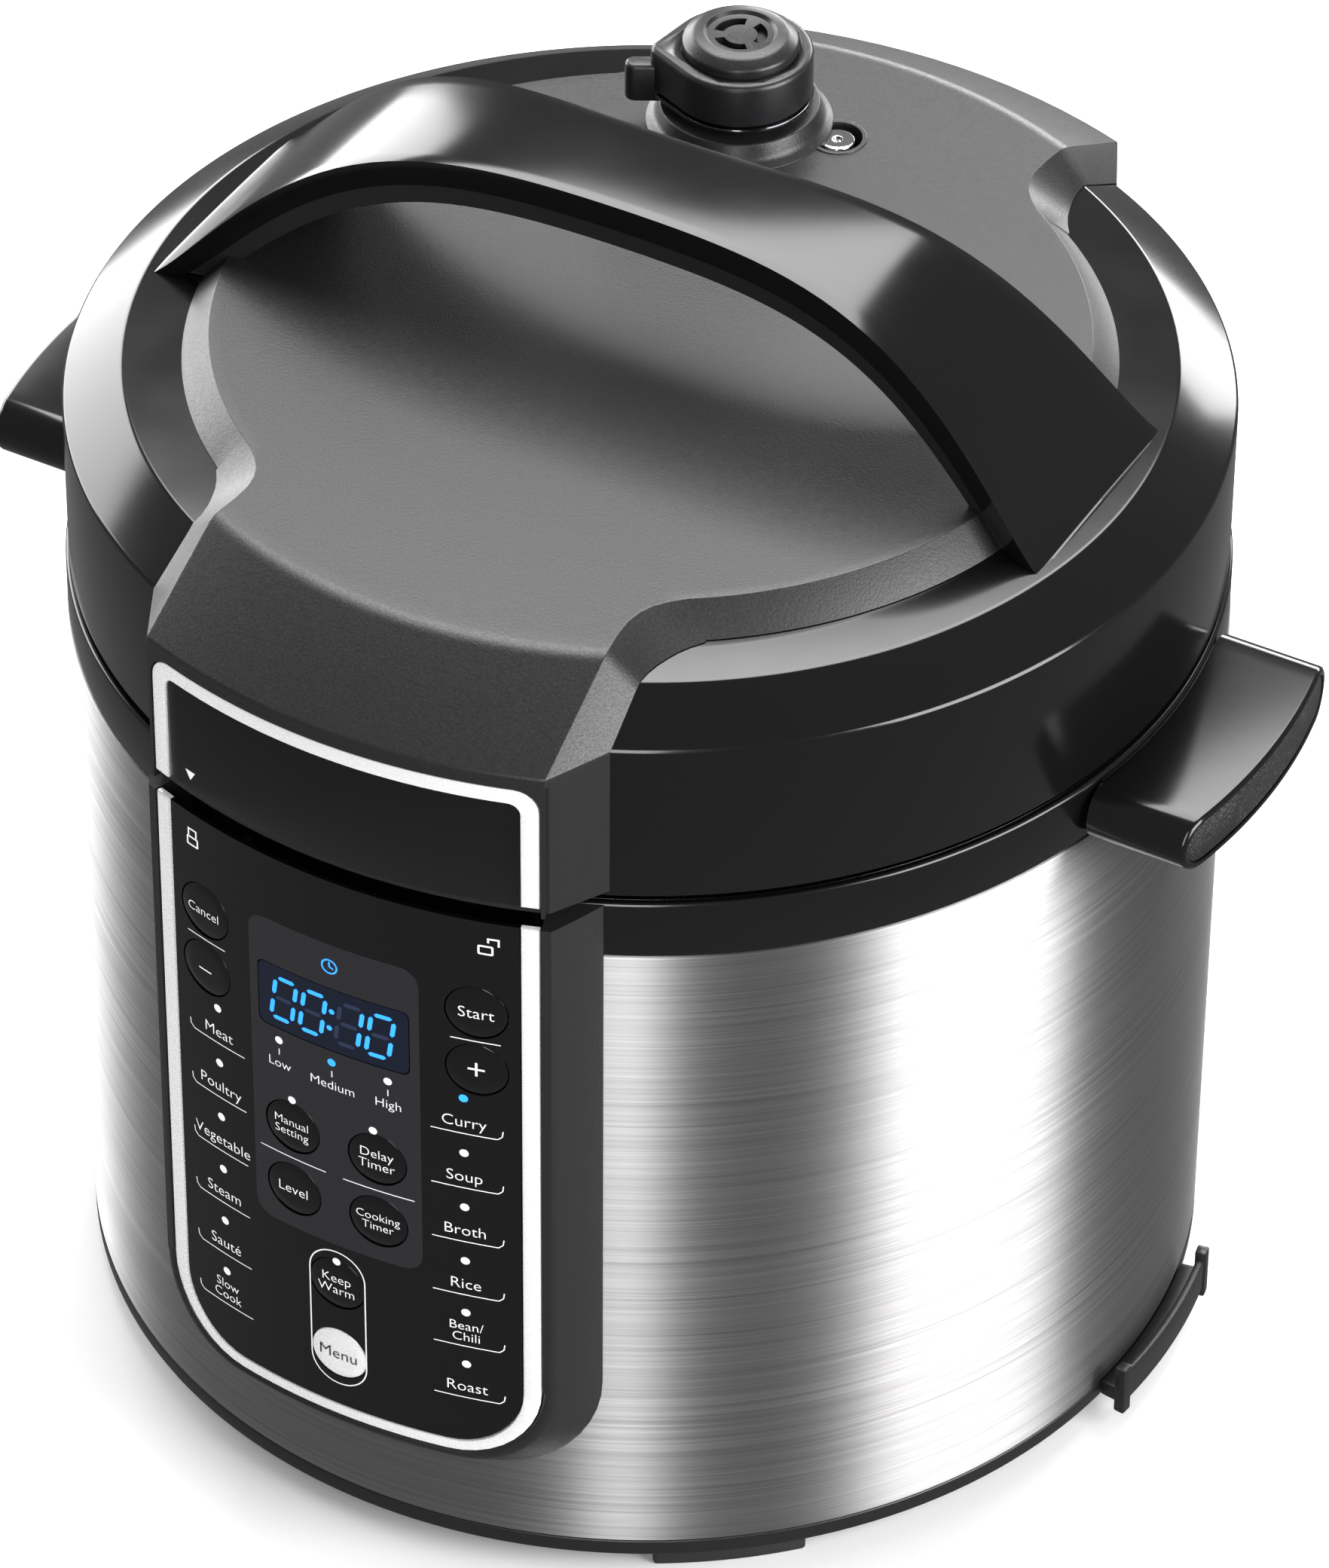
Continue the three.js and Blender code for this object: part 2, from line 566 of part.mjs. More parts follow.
function outerPot() {
  const floor = WELL_FLOOR;
  const well = turned([
    [WELL_OPENING, floor],
    [WELL_OUTSIDE, floor],
    [WELL_OUTSIDE, FLANGE_BOTTOM],
    [FLANGE_RADIUS, FLANGE_BOTTOM],
    [FLANGE_RADIUS, FLANGE_TOP],
    [WELL_RADIUS, FLANGE_TOP],
    [WELL_RADIUS, floor + WELL_WALL],
    [WELL_OPENING, floor + WELL_WALL],
  ]);
  const lugs = [];
  for (let i = 0; i < LUG_COUNT; i += 1) {
    const middle = i * 360 / LUG_COUNT;
    lugs.push(band(FLANGE_RADIUS - 2, LUG_RADIUS, middle - LUG_HALF_ANGLE, middle + LUG_HALF_ANGLE,
      FLANGE_BOTTOM, FLANGE_TOP));
  }
  piece('outer_pot', joined(well, ...lugs), STEEL);
  POST_ANGLES.forEach((angle, i) => {
    const [x, y] = around(WELL_OUTSIDE - POST_INSET, angle);
    piece(`support_post_${i + 1}`, rod(x, y, POST_RADIUS, FLOOR_TOP + GAP, WELL_FLOOR - GAP, 12),
      SATIN_BLACK);
  });
}

function heatingPlate() {
  const bottom = WELL_FLOOR + WELL_WALL + GAP;
  piece('heating_plate', turned([
    [HEATER_BORE, bottom],
    [HEATER_RADIUS - HEATER_STEP, bottom],
    [HEATER_RADIUS - HEATER_STEP, bottom + HEATER_STEP_RISE],
    [HEATER_RADIUS, bottom + HEATER_STEP_RISE],
    [HEATER_RADIUS, HEATER_TOP],
    [HEATER_BORE, HEATER_TOP],
  ], ROUND_SIDES), ALUMINIUM);
}

// The temperature sensor rides on a spring in a top-hat bracket under the well.
const BRACKET_FLOOR = 20;
const HAT_RADIUS = 15;
const HAT_BRIM = 27;
const SHEET = 1.5;                 // bracket's sheet steel
const CAP_HEIGHT = 15;
const CAP_WALL = 1.2;
const CAP_TOP_WALL = 1.6;
const SPRING_RADIUS = 8;
const SPRING_WIRE = 0.7;           // half the wire's thickness
const SPRING_TURNS = 5;

class Helix extends THREE.Curve {
  constructor(radius, bottom, top, turns) {
    super();
    Object.assign(this, { radius, bottom, top, turns });
  }

  getPoint(t, target = new THREE.Vector3()) {
    const angle = t * this.turns * Math.PI * 2;
    return target.set(this.radius * Math.cos(angle), this.radius * Math.sin(angle),
      this.bottom + t * (this.top - this.bottom));
  }
}

function temperatureSensor() {
  const under = WELL_FLOOR - GAP;
  piece('sensor_bracket', turned([
    [0, BRACKET_FLOOR],
    [HAT_RADIUS, BRACKET_FLOOR],
    [HAT_RADIUS, under - SHEET],
    [HAT_BRIM, under - SHEET],
    [HAT_BRIM, under],
    [HAT_RADIUS - 1.2, under],
    [HAT_RADIUS - 1.2, BRACKET_FLOOR + SHEET],
    [0, BRACKET_FLOOR + SHEET],
  ], SMALL_SIDES), STEEL);
  const capTop = POT_FLOOR - 0.2;
  piece('sensor_cap', turned([
    [0, capTop],
    [SENSOR_RADIUS - 0.6, capTop],
    [SENSOR_RADIUS, capTop - 0.6],
    [SENSOR_RADIUS, capTop - CAP_HEIGHT],
    [SENSOR_RADIUS - CAP_WALL, capTop - CAP_HEIGHT],
    [SENSOR_RADIUS - CAP_WALL, capTop - CAP_TOP_WALL],
    [0, capTop - CAP_TOP_WALL],
  ], SMALL_SIDES), ALUMINIUM);
  const first = BRACKET_FLOOR + SHEET + GAP + SPRING_WIRE;
  const last = capTop - CAP_TOP_WALL - GAP - SPRING_WIRE;
  const path = new Helix(SPRING_RADIUS, first, last, SPRING_TURNS);
  const section = new THREE.Shape();
  section.absarc(0, 0, SPRING_WIRE, 0, Math.PI * 2, false);
  const geometry = new THREE.ExtrudeGeometry(section, { steps: 36, extrudePath: path, curveSegments: 3 });
  piece('sensor_spring', toSolid(geometry), STEEL);
}

const SWITCH_X = 54;
const SWITCH_Y = 28;
const SWITCH_HALF = 12;
const SWITCH_LOW = 22;

function pressureSwitch() {
  const top = WELL_FLOOR - GAP;
  const housing = box(SWITCH_X - SWITCH_HALF, SWITCH_X + SWITCH_HALF, SWITCH_Y - 8, SWITCH_Y + 8,
    SWITCH_LOW, top - 4);
  piece('pressure_switch', joined(housing, rod(SWITCH_X, SWITCH_Y, 9, top - 5, top, 16)), SATIN_BLACK);
}

// The power board stands on four pegs in the front half of the base.
const BOARD_HALF = 48;
const BOARD_NEAR = -112;
const BOARD_FAR = -62;
const BOARD_THICKNESS = 1.6;
const PEG_HEIGHT = 4;
const PEG_RADIUS = 2.5;

function powerBoard() {
  const bottom = FLOOR_TOP + GAP;
  const top = bottom + PEG_HEIGHT + BOARD_THICKNESS;
  const board = box(-BOARD_HALF, BOARD_HALF, BOARD_NEAR, BOARD_FAR, bottom + PEG_HEIGHT, top);
  const pegs = [-1, 1].flatMap((side) => [BOARD_NEAR + 6, BOARD_FAR - 5].map((y) => (
    rod(side * (BOARD_HALF - 4), y, PEG_RADIUS, bottom, bottom + PEG_HEIGHT + 1, 8))));
  const relay = box(-38, -19, -98, -80, top - 0.6, top + 14.4);
  const transformer = box(8, 32, -100, -76, top - 0.6, top + 16.4);
  const capacitor = rod(-6, -90, 5.5, top - 0.6, top + 17.4, 12);
  piece('power_board', joined(board, ...pegs, relay, transformer, capacitor), BOARD_GREEN);
}

// ---------- control panel ----------

// Keys: name, place across the face, height.
const KEYS = [
  ['key_cancel', -OUTER_COLUMN, TOP_ROW],
  ['key_minus', -OUTER_COLUMN, TOP_ROW - TOP_PITCH],
  ['key_start', OUTER_COLUMN, TOP_ROW],
  ['key_plus', OUTER_COLUMN, TOP_ROW - TOP_PITCH],
  ['key_manual', -INNER_COLUMN, MIDDLE_ROW],
  ['key_delay', INNER_COLUMN, MIDDLE_ROW],
  ['key_level', -INNER_COLUMN, MIDDLE_ROW - MIDDLE_PITCH],
  ['key_timer', INNER_COLUMN, MIDDLE_ROW - MIDDLE_PITCH],
  ['key_warm', 0, PANEL_BOTTOM + 0.24 * FACE_HEIGHT],
  ['key_menu', 0, PANEL_BOTTOM + 0.102 * FACE_HEIGHT],
];

// The angle from the front of a place across the panel's curved face.
function angleAcross(x) {
  return Math.asin(x / FRONT_RADIUS) * 180 / Math.PI;
}

function panelOutline(half, bottom, corner) {
  const top = PANEL_TOP + CUT;
  return roundedShape([[-half, top], [-half, bottom, corner], [half, bottom, corner], [half, top]]);
}

function curvedPlate(shape, inner, outer, halfAngle, bottom, top, curveSegments = 6) {
  const ring = band(inner, outer, -halfAngle, halfAngle, bottom, top);
  return ring.intersect(frontSlab(shape, -outer - CUT, -inner / 2, curveSegments));
}

function panelBezel() {
  const inner = BODY_RADIUS + GAP;
  const sideY = Math.sqrt(inner ** 2 - BEZEL_SIDE_HALF ** 2);
  const frontY = Math.sqrt(FRONT_RADIUS ** 2 - BEZEL_FRONT_HALF ** 2);
  const plan = roundedShape([
    [-BEZEL_SIDE_HALF, -sideY + 3],
    [-BEZEL_SIDE_HALF, -sideY],
    [-BEZEL_FRONT_HALF, -frontY],
    [-BEZEL_FRONT_HALF, -FRONT_RADIUS - CUT],
    [BEZEL_FRONT_HALF, -FRONT_RADIUS - CUT],
    [BEZEL_FRONT_HALF, -frontY],
    [BEZEL_SIDE_HALF, -sideY],
    [BEZEL_SIDE_HALF, -sideY + 3],
  ]);
  const foot = PANEL_BOTTOM - 14;
  const section = turned([
    [inner, foot],
    [FRONT_RADIUS, foot + 9],
    [FRONT_RADIUS, COLLAR_TOP],
    [inner, COLLAR_TOP],
  ], FINE_SIDES);
  const front = roundedShape([
    [-BEZEL_SIDE_HALF - 1, COLLAR_TOP + CUT],
    [-BEZEL_SIDE_HALF - 1, foot, BEZEL_CORNER],
    [BEZEL_SIDE_HALF + 1, foot, BEZEL_CORNER],
    [BEZEL_SIDE_HALF + 1, COLLAR_TOP + CUT],
  ]);
  const block = slab(plan, foot, COLLAR_TOP)
    .intersect(section)
    .intersect(frontSlab(front, -FRONT_RADIUS - CUT, -100, 6));
  const trimHalf = PANEL_HALF + TRIM_WIDTH;
  const pocket = curvedPlate(
    panelOutline(trimHalf + GAP, PANEL_BOTTOM - TRIM_WIDTH / 1.4 - GAP, PANEL_CORNER + TRIM_WIDTH),
    FRONT_RADIUS - BAND_SLOT, FRONT_RADIUS + CUT, 24, 20, PANEL_TOP + CUT);
  const hollow = band(inner - CUT, FRONT_RADIUS - BAND_SLOT + 1, -WINDOW_ANGLE, WINDOW_ANGLE,
    PANEL_BOTTOM + 5, PANEL_TOP - 5);
  piece('panel_bezel', cut(block, pocket, hollow), MATTE_BLACK);
}

function panelPlates() {
  const inner = FRONT_RADIUS - BAND_SLOT + GAP;
  const trimHalf = PANEL_HALF + TRIM_WIDTH;
  const trimBottom = PANEL_BOTTOM - TRIM_WIDTH / 1.4;
  const trimBlank = curvedPlate(panelOutline(trimHalf, trimBottom, PANEL_CORNER + TRIM_WIDTH),
    inner, FRONT_RADIUS - 0.1, 24, 20, PANEL_TOP);
  const trimHole = frontSlab(panelOutline(PANEL_HALF, PANEL_BOTTOM, PANEL_CORNER),
    -FRONT_RADIUS - CUT, -100, 6);
  piece('panel_trim', trimBlank.subtract(trimHole), CHROME);

  const faceOutline = panelOutline(PANEL_HALF - GAP, PANEL_BOTTOM + GAP, PANEL_CORNER);
  const face = curvedPlate(faceOutline, inner, inner + PLATE_THICKNESS, 24, 20, PANEL_TOP);
  const windowOutline = (margin) => (
    rectangle(-DISPLAY_HALF - margin, DISPLAY_HALF + margin, DISPLAY_LOW - margin, DISPLAY_HIGH + margin,
      DISPLAY_CORNER));
  const windowHole = frontSlab(windowOutline(GAP), -FRONT_RADIUS - CUT, -100, 2);
  const keyHoles = KEYS.map(([, across, height]) => {
    const angle = angleAcross(across);
    const [x, y] = around(FRONT_RADIUS, angle);
    return rod(0, 0, KEY_RADIUS + GAP, -10, 10)
      .rotate([90, 0, angle])
      .translate([x, y, height]);
  });
  piece('panel_face', cut(face, windowHole, ...keyHoles), GLOSS_BLACK);
  piece('display_window',
    curvedPlate(windowOutline(0), inner, inner + PLATE_THICKNESS, 10, 20, PANEL_TOP, 2), DISPLAY_BLUE);

  const moduleFront = Math.sqrt((inner - 2 * GAP) ** 2 - (DISPLAY_HALF + 2) ** 2);
  piece('display_module', box(-DISPLAY_HALF - 2, DISPLAY_HALF + 2, -moduleFront, -BOARD_FRONT - GAP,
    DISPLAY_LOW - 1, DISPLAY_HIGH + 1), SATIN_BLACK);
  const board = box(-39.5, 39.5, -BOARD_FRONT, -BOARD_FRONT + 1.6, PANEL_BOTTOM + 10,
    BODY_TOP - LOCATING_RISE - 2);
  const chip = box(-9, 9, -BOARD_FRONT + 1, -BOARD_FRONT + 4, PANEL_BOTTOM + 60, PANEL_BOTTOM + 76);
  const plug = box(14, 30, -BOARD_FRONT + 1, -BOARD_FRONT + 8, PANEL_BOTTOM + 20, PANEL_BOTTOM + 28);
  piece('control_board', joined(board, chip, plug), BOARD_GREEN);
}

// Each key is a shallow dome on a stem that reaches the board behind it, and slides inwards.
function keys() {
  KEYS.forEach(([name, across, height]) => {
    const angle = angleAcross(across);
    const slope = Math.tan(radians(Math.abs(angle)));
    const boardAt = BOARD_FRONT / Math.cos(radians(angle));
    const behind = FRONT_RADIUS - 3.4;
    const stemEnd = boardAt + KEY_STEM * slope + KEY_TRAVEL + GAP;
    const key = turned([
      [0, -FRONT_RADIUS + 0.1],
      [KEY_RADIUS, -FRONT_RADIUS + 0.8],
      [KEY_RADIUS, -behind],
      [KEY_STEM, -behind],
      [KEY_STEM, -stemEnd],
      [0, -stemEnd],
    ], SMALL_SIDES);
    const solid = key.rotate([-90, 0, 0]).rotate([0, 0, angle]).translate([0, 0, height]);
    piece(name, solid, name === 'key_menu' ? CHROME : GLOSS_BLACK);
  });
}

// ---------- inner pot and seal ----------

function innerPot() {
  const floorInside = POT_FLOOR + POT_WALL;
  const inside = POT_RADIUS - POT_WALL;
  piece('inner_pot', turned([
    [0, POT_FLOOR],
    [POT_RADIUS - POT_CORNER, POT_FLOOR],
    [POT_RADIUS, POT_FLOOR + POT_CORNER],
    [POT_RADIUS, POT_RIM],
    [POT_RADIUS + POT_LIP, POT_RIM],
    [POT_RADIUS + POT_LIP, POT_RIM + POT_WALL],
    [inside, POT_RIM + POT_WALL],
    [inside, POT_FLOOR + POT_CORNER],
    [inside - POT_CORNER, floorInside],
    [0, floorInside],
  ]), NON_STICK);
}

function seal() {
  const bottom = POT_RIM + POT_WALL + GAP;
  const inner = POT_RADIUS + 1.5;
  piece('seal_ring', turned([
    [inner + 1.6, bottom],
    [inner + 8.6, bottom],
    [inner + 11, SEAL_TOP],
    [inner, SEAL_TOP],
  ]), SILICONE);
  piece('seal_rack', turned([
    [inner - GAP - 2.4, bottom + 5],
    [inner - GAP, bottom + 5],
    [inner - GAP, SEAL_TOP],
    [inner - GAP - 2.4, SEAL_TOP],
  ]), STEEL);
}

// ---------- lid ----------

function lidSkirt() {
  const inside = SKIRT_RADIUS - SKIRT_WALL;
  piece('lid_skirt', turned([
    [SKIRT_RADIUS, LID_BOTTOM],
    [SKIRT_RADIUS, CREASE],
    [RING_RADIUS, RING_TOP],
    [RING_BORE, RING_TOP],
    [RING_BORE, RING_TOP - RING_WALL],
    [RING_RADIUS - 1, RING_TOP - RING_WALL],
    [inside, CREASE - 2],
    [inside, LID_BOTTOM + 2.6],
    [RIM_OUTSIDE + GAP, LID_BOTTOM + 2.6],
    [RIM_OUTSIDE + GAP, LID_BOTTOM],
  ]).subtract(screwTools()), GLOSS_BLACK);
}

function innerLid() {
  const step = SEAL_TOP + GAP;
  const neck = POT_RADIUS - 7.6;
  const lid = turned([
    [0, PLATE_TOP],
    [neck + 1.5, PLATE_TOP],
    [neck + 3.4, step + 1.5],
    [RIM_OUTSIDE, step + 1.5],
    [RIM_OUTSIDE, RIM_BOTTOM],
    [RIM_INSIDE, RIM_BOTTOM],
    [RIM_INSIDE, step],
    [neck + 1.9, step],
    [neck - 0.7, PLATE_TOP - 1.5],
    [0, PLATE_TOP - 1.5],
  ]);
  const lugs = [];
  for (let i = 0; i < LUG_COUNT; i += 1) {
    const middle = i * 360 / LUG_COUNT;
    lugs.push(band(LID_LUG_RADIUS, RIM_INSIDE + 0.8, middle - LUG_HALF_ANGLE, middle + LUG_HALF_ANGLE,
      RIM_BOTTOM, RIM_BOTTOM + 2));
  }
  const pipeHole = rod(VALVE_X, VALVE_Y, PIPE_RADIUS + GAP, PLATE_TOP - CUT, PLATE_TOP + CUT);
  const pinHole = rod(FLOAT_X, FLOAT_Y, 3.5, PLATE_TOP - CUT, PLATE_TOP + CUT);
  piece('inner_lid', cut(joined(lid, ...lugs), pipeHole, pinHole), STEEL);
}

// The cover is a shallow dish with a tongue at the front and one at the back. Each tongue runs over the
// ring and down the outside of the skirt.
function tonguePlan() {
  const sideY = Math.sqrt(SKIRT_RADIUS ** 2 - TONGUE_SIDE_HALF ** 2);
  const frontY = Math.sqrt(FRONT_RADIUS ** 2 - TONGUE_FRONT_HALF ** 2);
  const neck = TONGUE_WAIST_HALF + 5;
  const neckY = Math.sqrt(COVER_FOOT ** 2 - neck ** 2);
  const half = [
    [neck, -neckY + 30],
    [neck, -neckY],
    [TONGUE_WAIST_HALF + 1.4, -neckY - 7],
    [TONGUE_WAIST_HALF, -neckY - 17],
    [TONGUE_SIDE_HALF, -sideY],
    [TONGUE_FRONT_HALF, -frontY],
    [TONGUE_FRONT_HALF, -FRONT_RADIUS - CUT],
  ];
  const mirrored = half.map(([x, y]) => [-x, y]).reverse();
  return roundedShape([...mirrored, ...half]);
}

function lidCover() {
  const dish = turned([
    [0, RING_TOP + GAP],
    [COVER_FOOT, RING_TOP + GAP],
    [COVER_EDGE, COVER_TOP],
    [0, COVER_TOP],
  ]);
  const tongueSection = turned([
    [90, TONGUE_BOTTOM],
    [FRONT_RADIUS, TONGUE_BOTTOM],
    [FRONT_RADIUS, CREASE],
    [FRONT_RADIUS - TONGUE_SHOULDER, COVER_TOP],
    [90, COVER_TOP],
  ], FINE_SIDES);
  const tongue = slab(tonguePlan(), TONGUE_BOTTOM, COVER_TOP).intersect(tongueSection);
  const clearance = turned([
    [0, 100],
    [SKIRT_RADIUS + GAP, 100],
    [SKIRT_RADIUS + GAP, CREASE + 0.1],
    [RING_RADIUS + 0.1, RING_TOP + GAP],
    [RING_BORE, RING_TOP + GAP],
    [RING_BORE - 3, COVER_TOP - COVER_WALL],
    [0, COVER_TOP - COVER_WALL],
  ]);
  const cavity = band(SKIRT_RADIUS - 1, FRONT_RADIUS - 4.6, -20, 20, TONGUE_BOTTOM - CUT, CREASE - 6);
  const pocket = curvedPlate(bandOutline(PANEL_HALF + TRIM_WIDTH + GAP, GAP, 6),
    FRONT_RADIUS - BAND_SLOT, FRONT_RADIUS + CUT, 24, 100, COVER_TOP);
  const sides = [0, 180].flatMap((turn) => [tongue.rotate([0, 0, turn])]);
  const cavities = [0, 180].map((turn) => cavity.rotate([0, 0, turn]));
  const pedestal = turned([
    [0, COVER_TOP - 1],
    [PEDESTAL_RADIUS, COVER_TOP - 1],
    [PEDESTAL_RADIUS, COVER_TOP],
    [PEDESTAL_RADIUS - 2.4, COVER_TOP + PEDESTAL_HEIGHT * 0.6],
    [PEDESTAL_RADIUS - 3.5, COVER_TOP + PEDESTAL_HEIGHT],
    [0, COVER_TOP + PEDESTAL_HEIGHT],
  ], ROUND_SIDES).translate([VALVE_X, VALVE_Y, 0]);
  const pipeHole = rod(VALVE_X, VALVE_Y, 11, COVER_TOP - CUT, COVER_TOP + PEDESTAL_HEIGHT + CUT);
  const pinHole = rod(FLOAT_X, FLOAT_Y, FLOAT_RADIUS + 2.4, COVER_TOP - CUT,
    COVER_TOP + PEDESTAL_HEIGHT + CUT);
  const whole = joined(dish, ...sides, pedestal);
  piece('lid_cover', cut(whole, clearance, ...cavities, pocket, pipeHole, pinHole, screwTools()), MATTE_BLACK);
}

// Outline of the lid's front trim, seen from the front: an arch open at the bottom edge.
function bandOutline(half, margin, corner) {
  const bottom = TONGUE_BOTTOM + 2.5 - margin;
  const top = CREASE - 4 + margin;
  return roundedShape([[-half, bottom], [half, bottom], [half, top, corner], [-half, top, corner]]);
}

function lidFront() {
  const inner = FRONT_RADIUS - BAND_SLOT + GAP;
  const blank = curvedPlate(bandOutline(PANEL_HALF + TRIM_WIDTH, 0, 6), inner, FRONT_RADIUS - 0.1, 24,
    100, COVER_TOP);
  const hole = frontSlab(bandOutline(PANEL_HALF, -TRIM_WIDTH, 3), -FRONT_RADIUS - CUT, -100, 4);
  const legs = frontSlab(rectangle(-PANEL_HALF, PANEL_HALF, 100, TONGUE_BOTTOM + 20),
    -FRONT_RADIUS - CUT, -100, 4);
  piece('lid_front_trim', cut(blank, hole, legs), CHROME);
  const plateOutline = roundedShape([
    [-PANEL_HALF + GAP, TONGUE_BOTTOM + 2.5],
    [PANEL_HALF - GAP, TONGUE_BOTTOM + 2.5],
    [PANEL_HALF - GAP, CREASE - 4 - TRIM_WIDTH - GAP, 3],
    [-PANEL_HALF + GAP, CREASE - 4 - TRIM_WIDTH - GAP, 3],
  ]);
  piece('lid_front_plate', curvedPlate(plateOutline, inner, inner + PLATE_THICKNESS - 0.2, 24,
    100, COVER_TOP), GLOSS_BLACK);
}

// ---------- lid handle ----------

function archHeight(x, reach, height) {
  const share = Math.min(Math.abs(x) / reach, 1);
  return RING_TOP + height * (1 - share ** ARCH_POWER) ** ARCH_SHARPNESS;
}

function archHalfWidth(x, reach) {
  return ARCH_MIDDLE_HALF + (ARCH_END_HALF - ARCH_MIDDLE_HALF) * (x / reach) ** 2;
}

// A band between two arches, seen from the front, each given as how far it lies under the crown.
function archShape(reach, upper, lower) {
  const places = [-1, -0.985, -0.95, -0.88, -0.78, -0.65, -0.5, -0.3, 0];
  const shares = [...places, ...places.slice(0, -1).map((share) => -share).reverse()];
  const bottom = RING_TOP + GAP;
  const curve = (depth) => shares.map((share) => {
    const x = share * (reach - depth);
    return [x, Math.max(bottom, archHeight(x, reach - depth, ARCH_HEIGHT - depth))];
  });
  return roundedShape([...curve(upper), ...curve(lower).reverse()]);
}

function archPlan(reach, inset) {
  const shares = [-1, -0.8, -0.6, -0.4, -0.2, 0, 0.2, 0.4, 0.6, 0.8, 1];
  const edge = shares.map((share) => {
    const x = share * reach;
    return [x, -archHalfWidth(x, reach) + inset];
  });
  return roundedShape([...edge, ...edge.map(([x, y]) => [x, -y]).reverse()]);
}

function screwTools() {
  const reach = ARCH_REACH - SCREW_INSET;
  return joined(...[-1, 1].map((side) => (
    rod(side * reach, 0, SCREW_RADIUS + 0.7, RING_TOP - 2 * CUT, COVER_TOP + CUT, 12))));
}

function lidHandle() {
  const reach = ARCH_REACH;
  const coverTool = turned([
    [0, 0],
    [COVER_FOOT + GAP, 0],
    [COVER_FOOT + GAP, RING_TOP + 0.6],
    [COVER_EDGE + GAP, COVER_TOP + GAP],
    [0, COVER_TOP + GAP],
  ]);
  const shell = frontSlab(archShape(reach, 0, ARCH_SKIN), -60, 60)
    .intersect(slab(archPlan(reach, 0), RING_TOP, RING_TOP + 100));
  const grip = frontSlab(archShape(reach, ARCH_SKIN + GAP, ARCH_SKIN + ARCH_GRIP), -60, 60)
    .intersect(slab(archPlan(reach, GRIP_INSET), RING_TOP, RING_TOP + 100));
  const screwHoles = joined(...[-1, 1].map((side) => (
    rod(side * (reach - SCREW_INSET), 0, SCREW_RADIUS + GAP, RING_TOP - CUT, SCREW_TOP + 1, 12))));
  piece('lid_handle_top', cut(shell, coverTool, screwHoles), GLOSS_BLACK);
  piece('lid_handle_grip', cut(grip, coverTool, screwHoles), MATTE_BLACK);
  [[-1, 'left'], [1, 'right']].forEach(([side, name]) => {
    const seat = RING_TOP - RING_WALL - GAP;
    const screw = turned([
      [0, seat - SCREW_HEAD],
      [SCREW_HEAD_RADIUS, seat - SCREW_HEAD],
      [SCREW_HEAD_RADIUS, seat],
      [SCREW_RADIUS, seat],
      [SCREW_RADIUS, SCREW_TOP],
      [0, SCREW_TOP],
    ], 12);
    piece(`handle_screw_${name}`, screw.translate([side * (reach - SCREW_INSET), 0, 0]), STEEL);
  });
}

// ---------- steam release and float ----------

function steamPipe() {
  piece('steam_pipe', turned([
    [2.5, PLATE_TOP - 8.5],
    [PIPE_RADIUS, PLATE_TOP - 8.5],
    [PIPE_RADIUS, PLATE_TOP + GAP],
    [10.5, PLATE_TOP + GAP],
    [10.5, PLATE_TOP + 3],
    [PIPE_RADIUS, PLATE_TOP + 3],
    [PIPE_RADIUS, KNOB_BOTTOM + 9.4],
    [2.5, KNOB_BOTTOM + 9.4],
  ], SMALL_SIDES).translate([VALVE_X, VALVE_Y, 0]), STEEL);
  const top = PLATE_TOP - 1.5 - GAP;
  const shield = turned([
    [0, top - 14],
    [12, top - 14],
    [13, top - 13],
    [13, top],
    [11.8, top],
    [11.8, top - 12.8],
    [0, top - 12.8],
  ], SMALL_SIDES);
  const slots = [0, 60, 120].map((turn) => box(-20, 20, -1.2, 1.2, top - 11, top - 3).rotate([0, 0, turn]));
  piece('anti_block_shield', cut(shield, ...slots).translate([VALVE_X, VALVE_Y, 0]), STEEL);
}

function teardrop(radius, reach, tipRadius) {
  const slope = Math.acos((radius - tipRadius) / reach);
  const shape = new THREE.Shape();
  shape.absarc(0, 0, radius, slope, -slope, false);
  shape.absarc(reach, 0, tipRadius, -slope, slope, false);
  return shape;
}

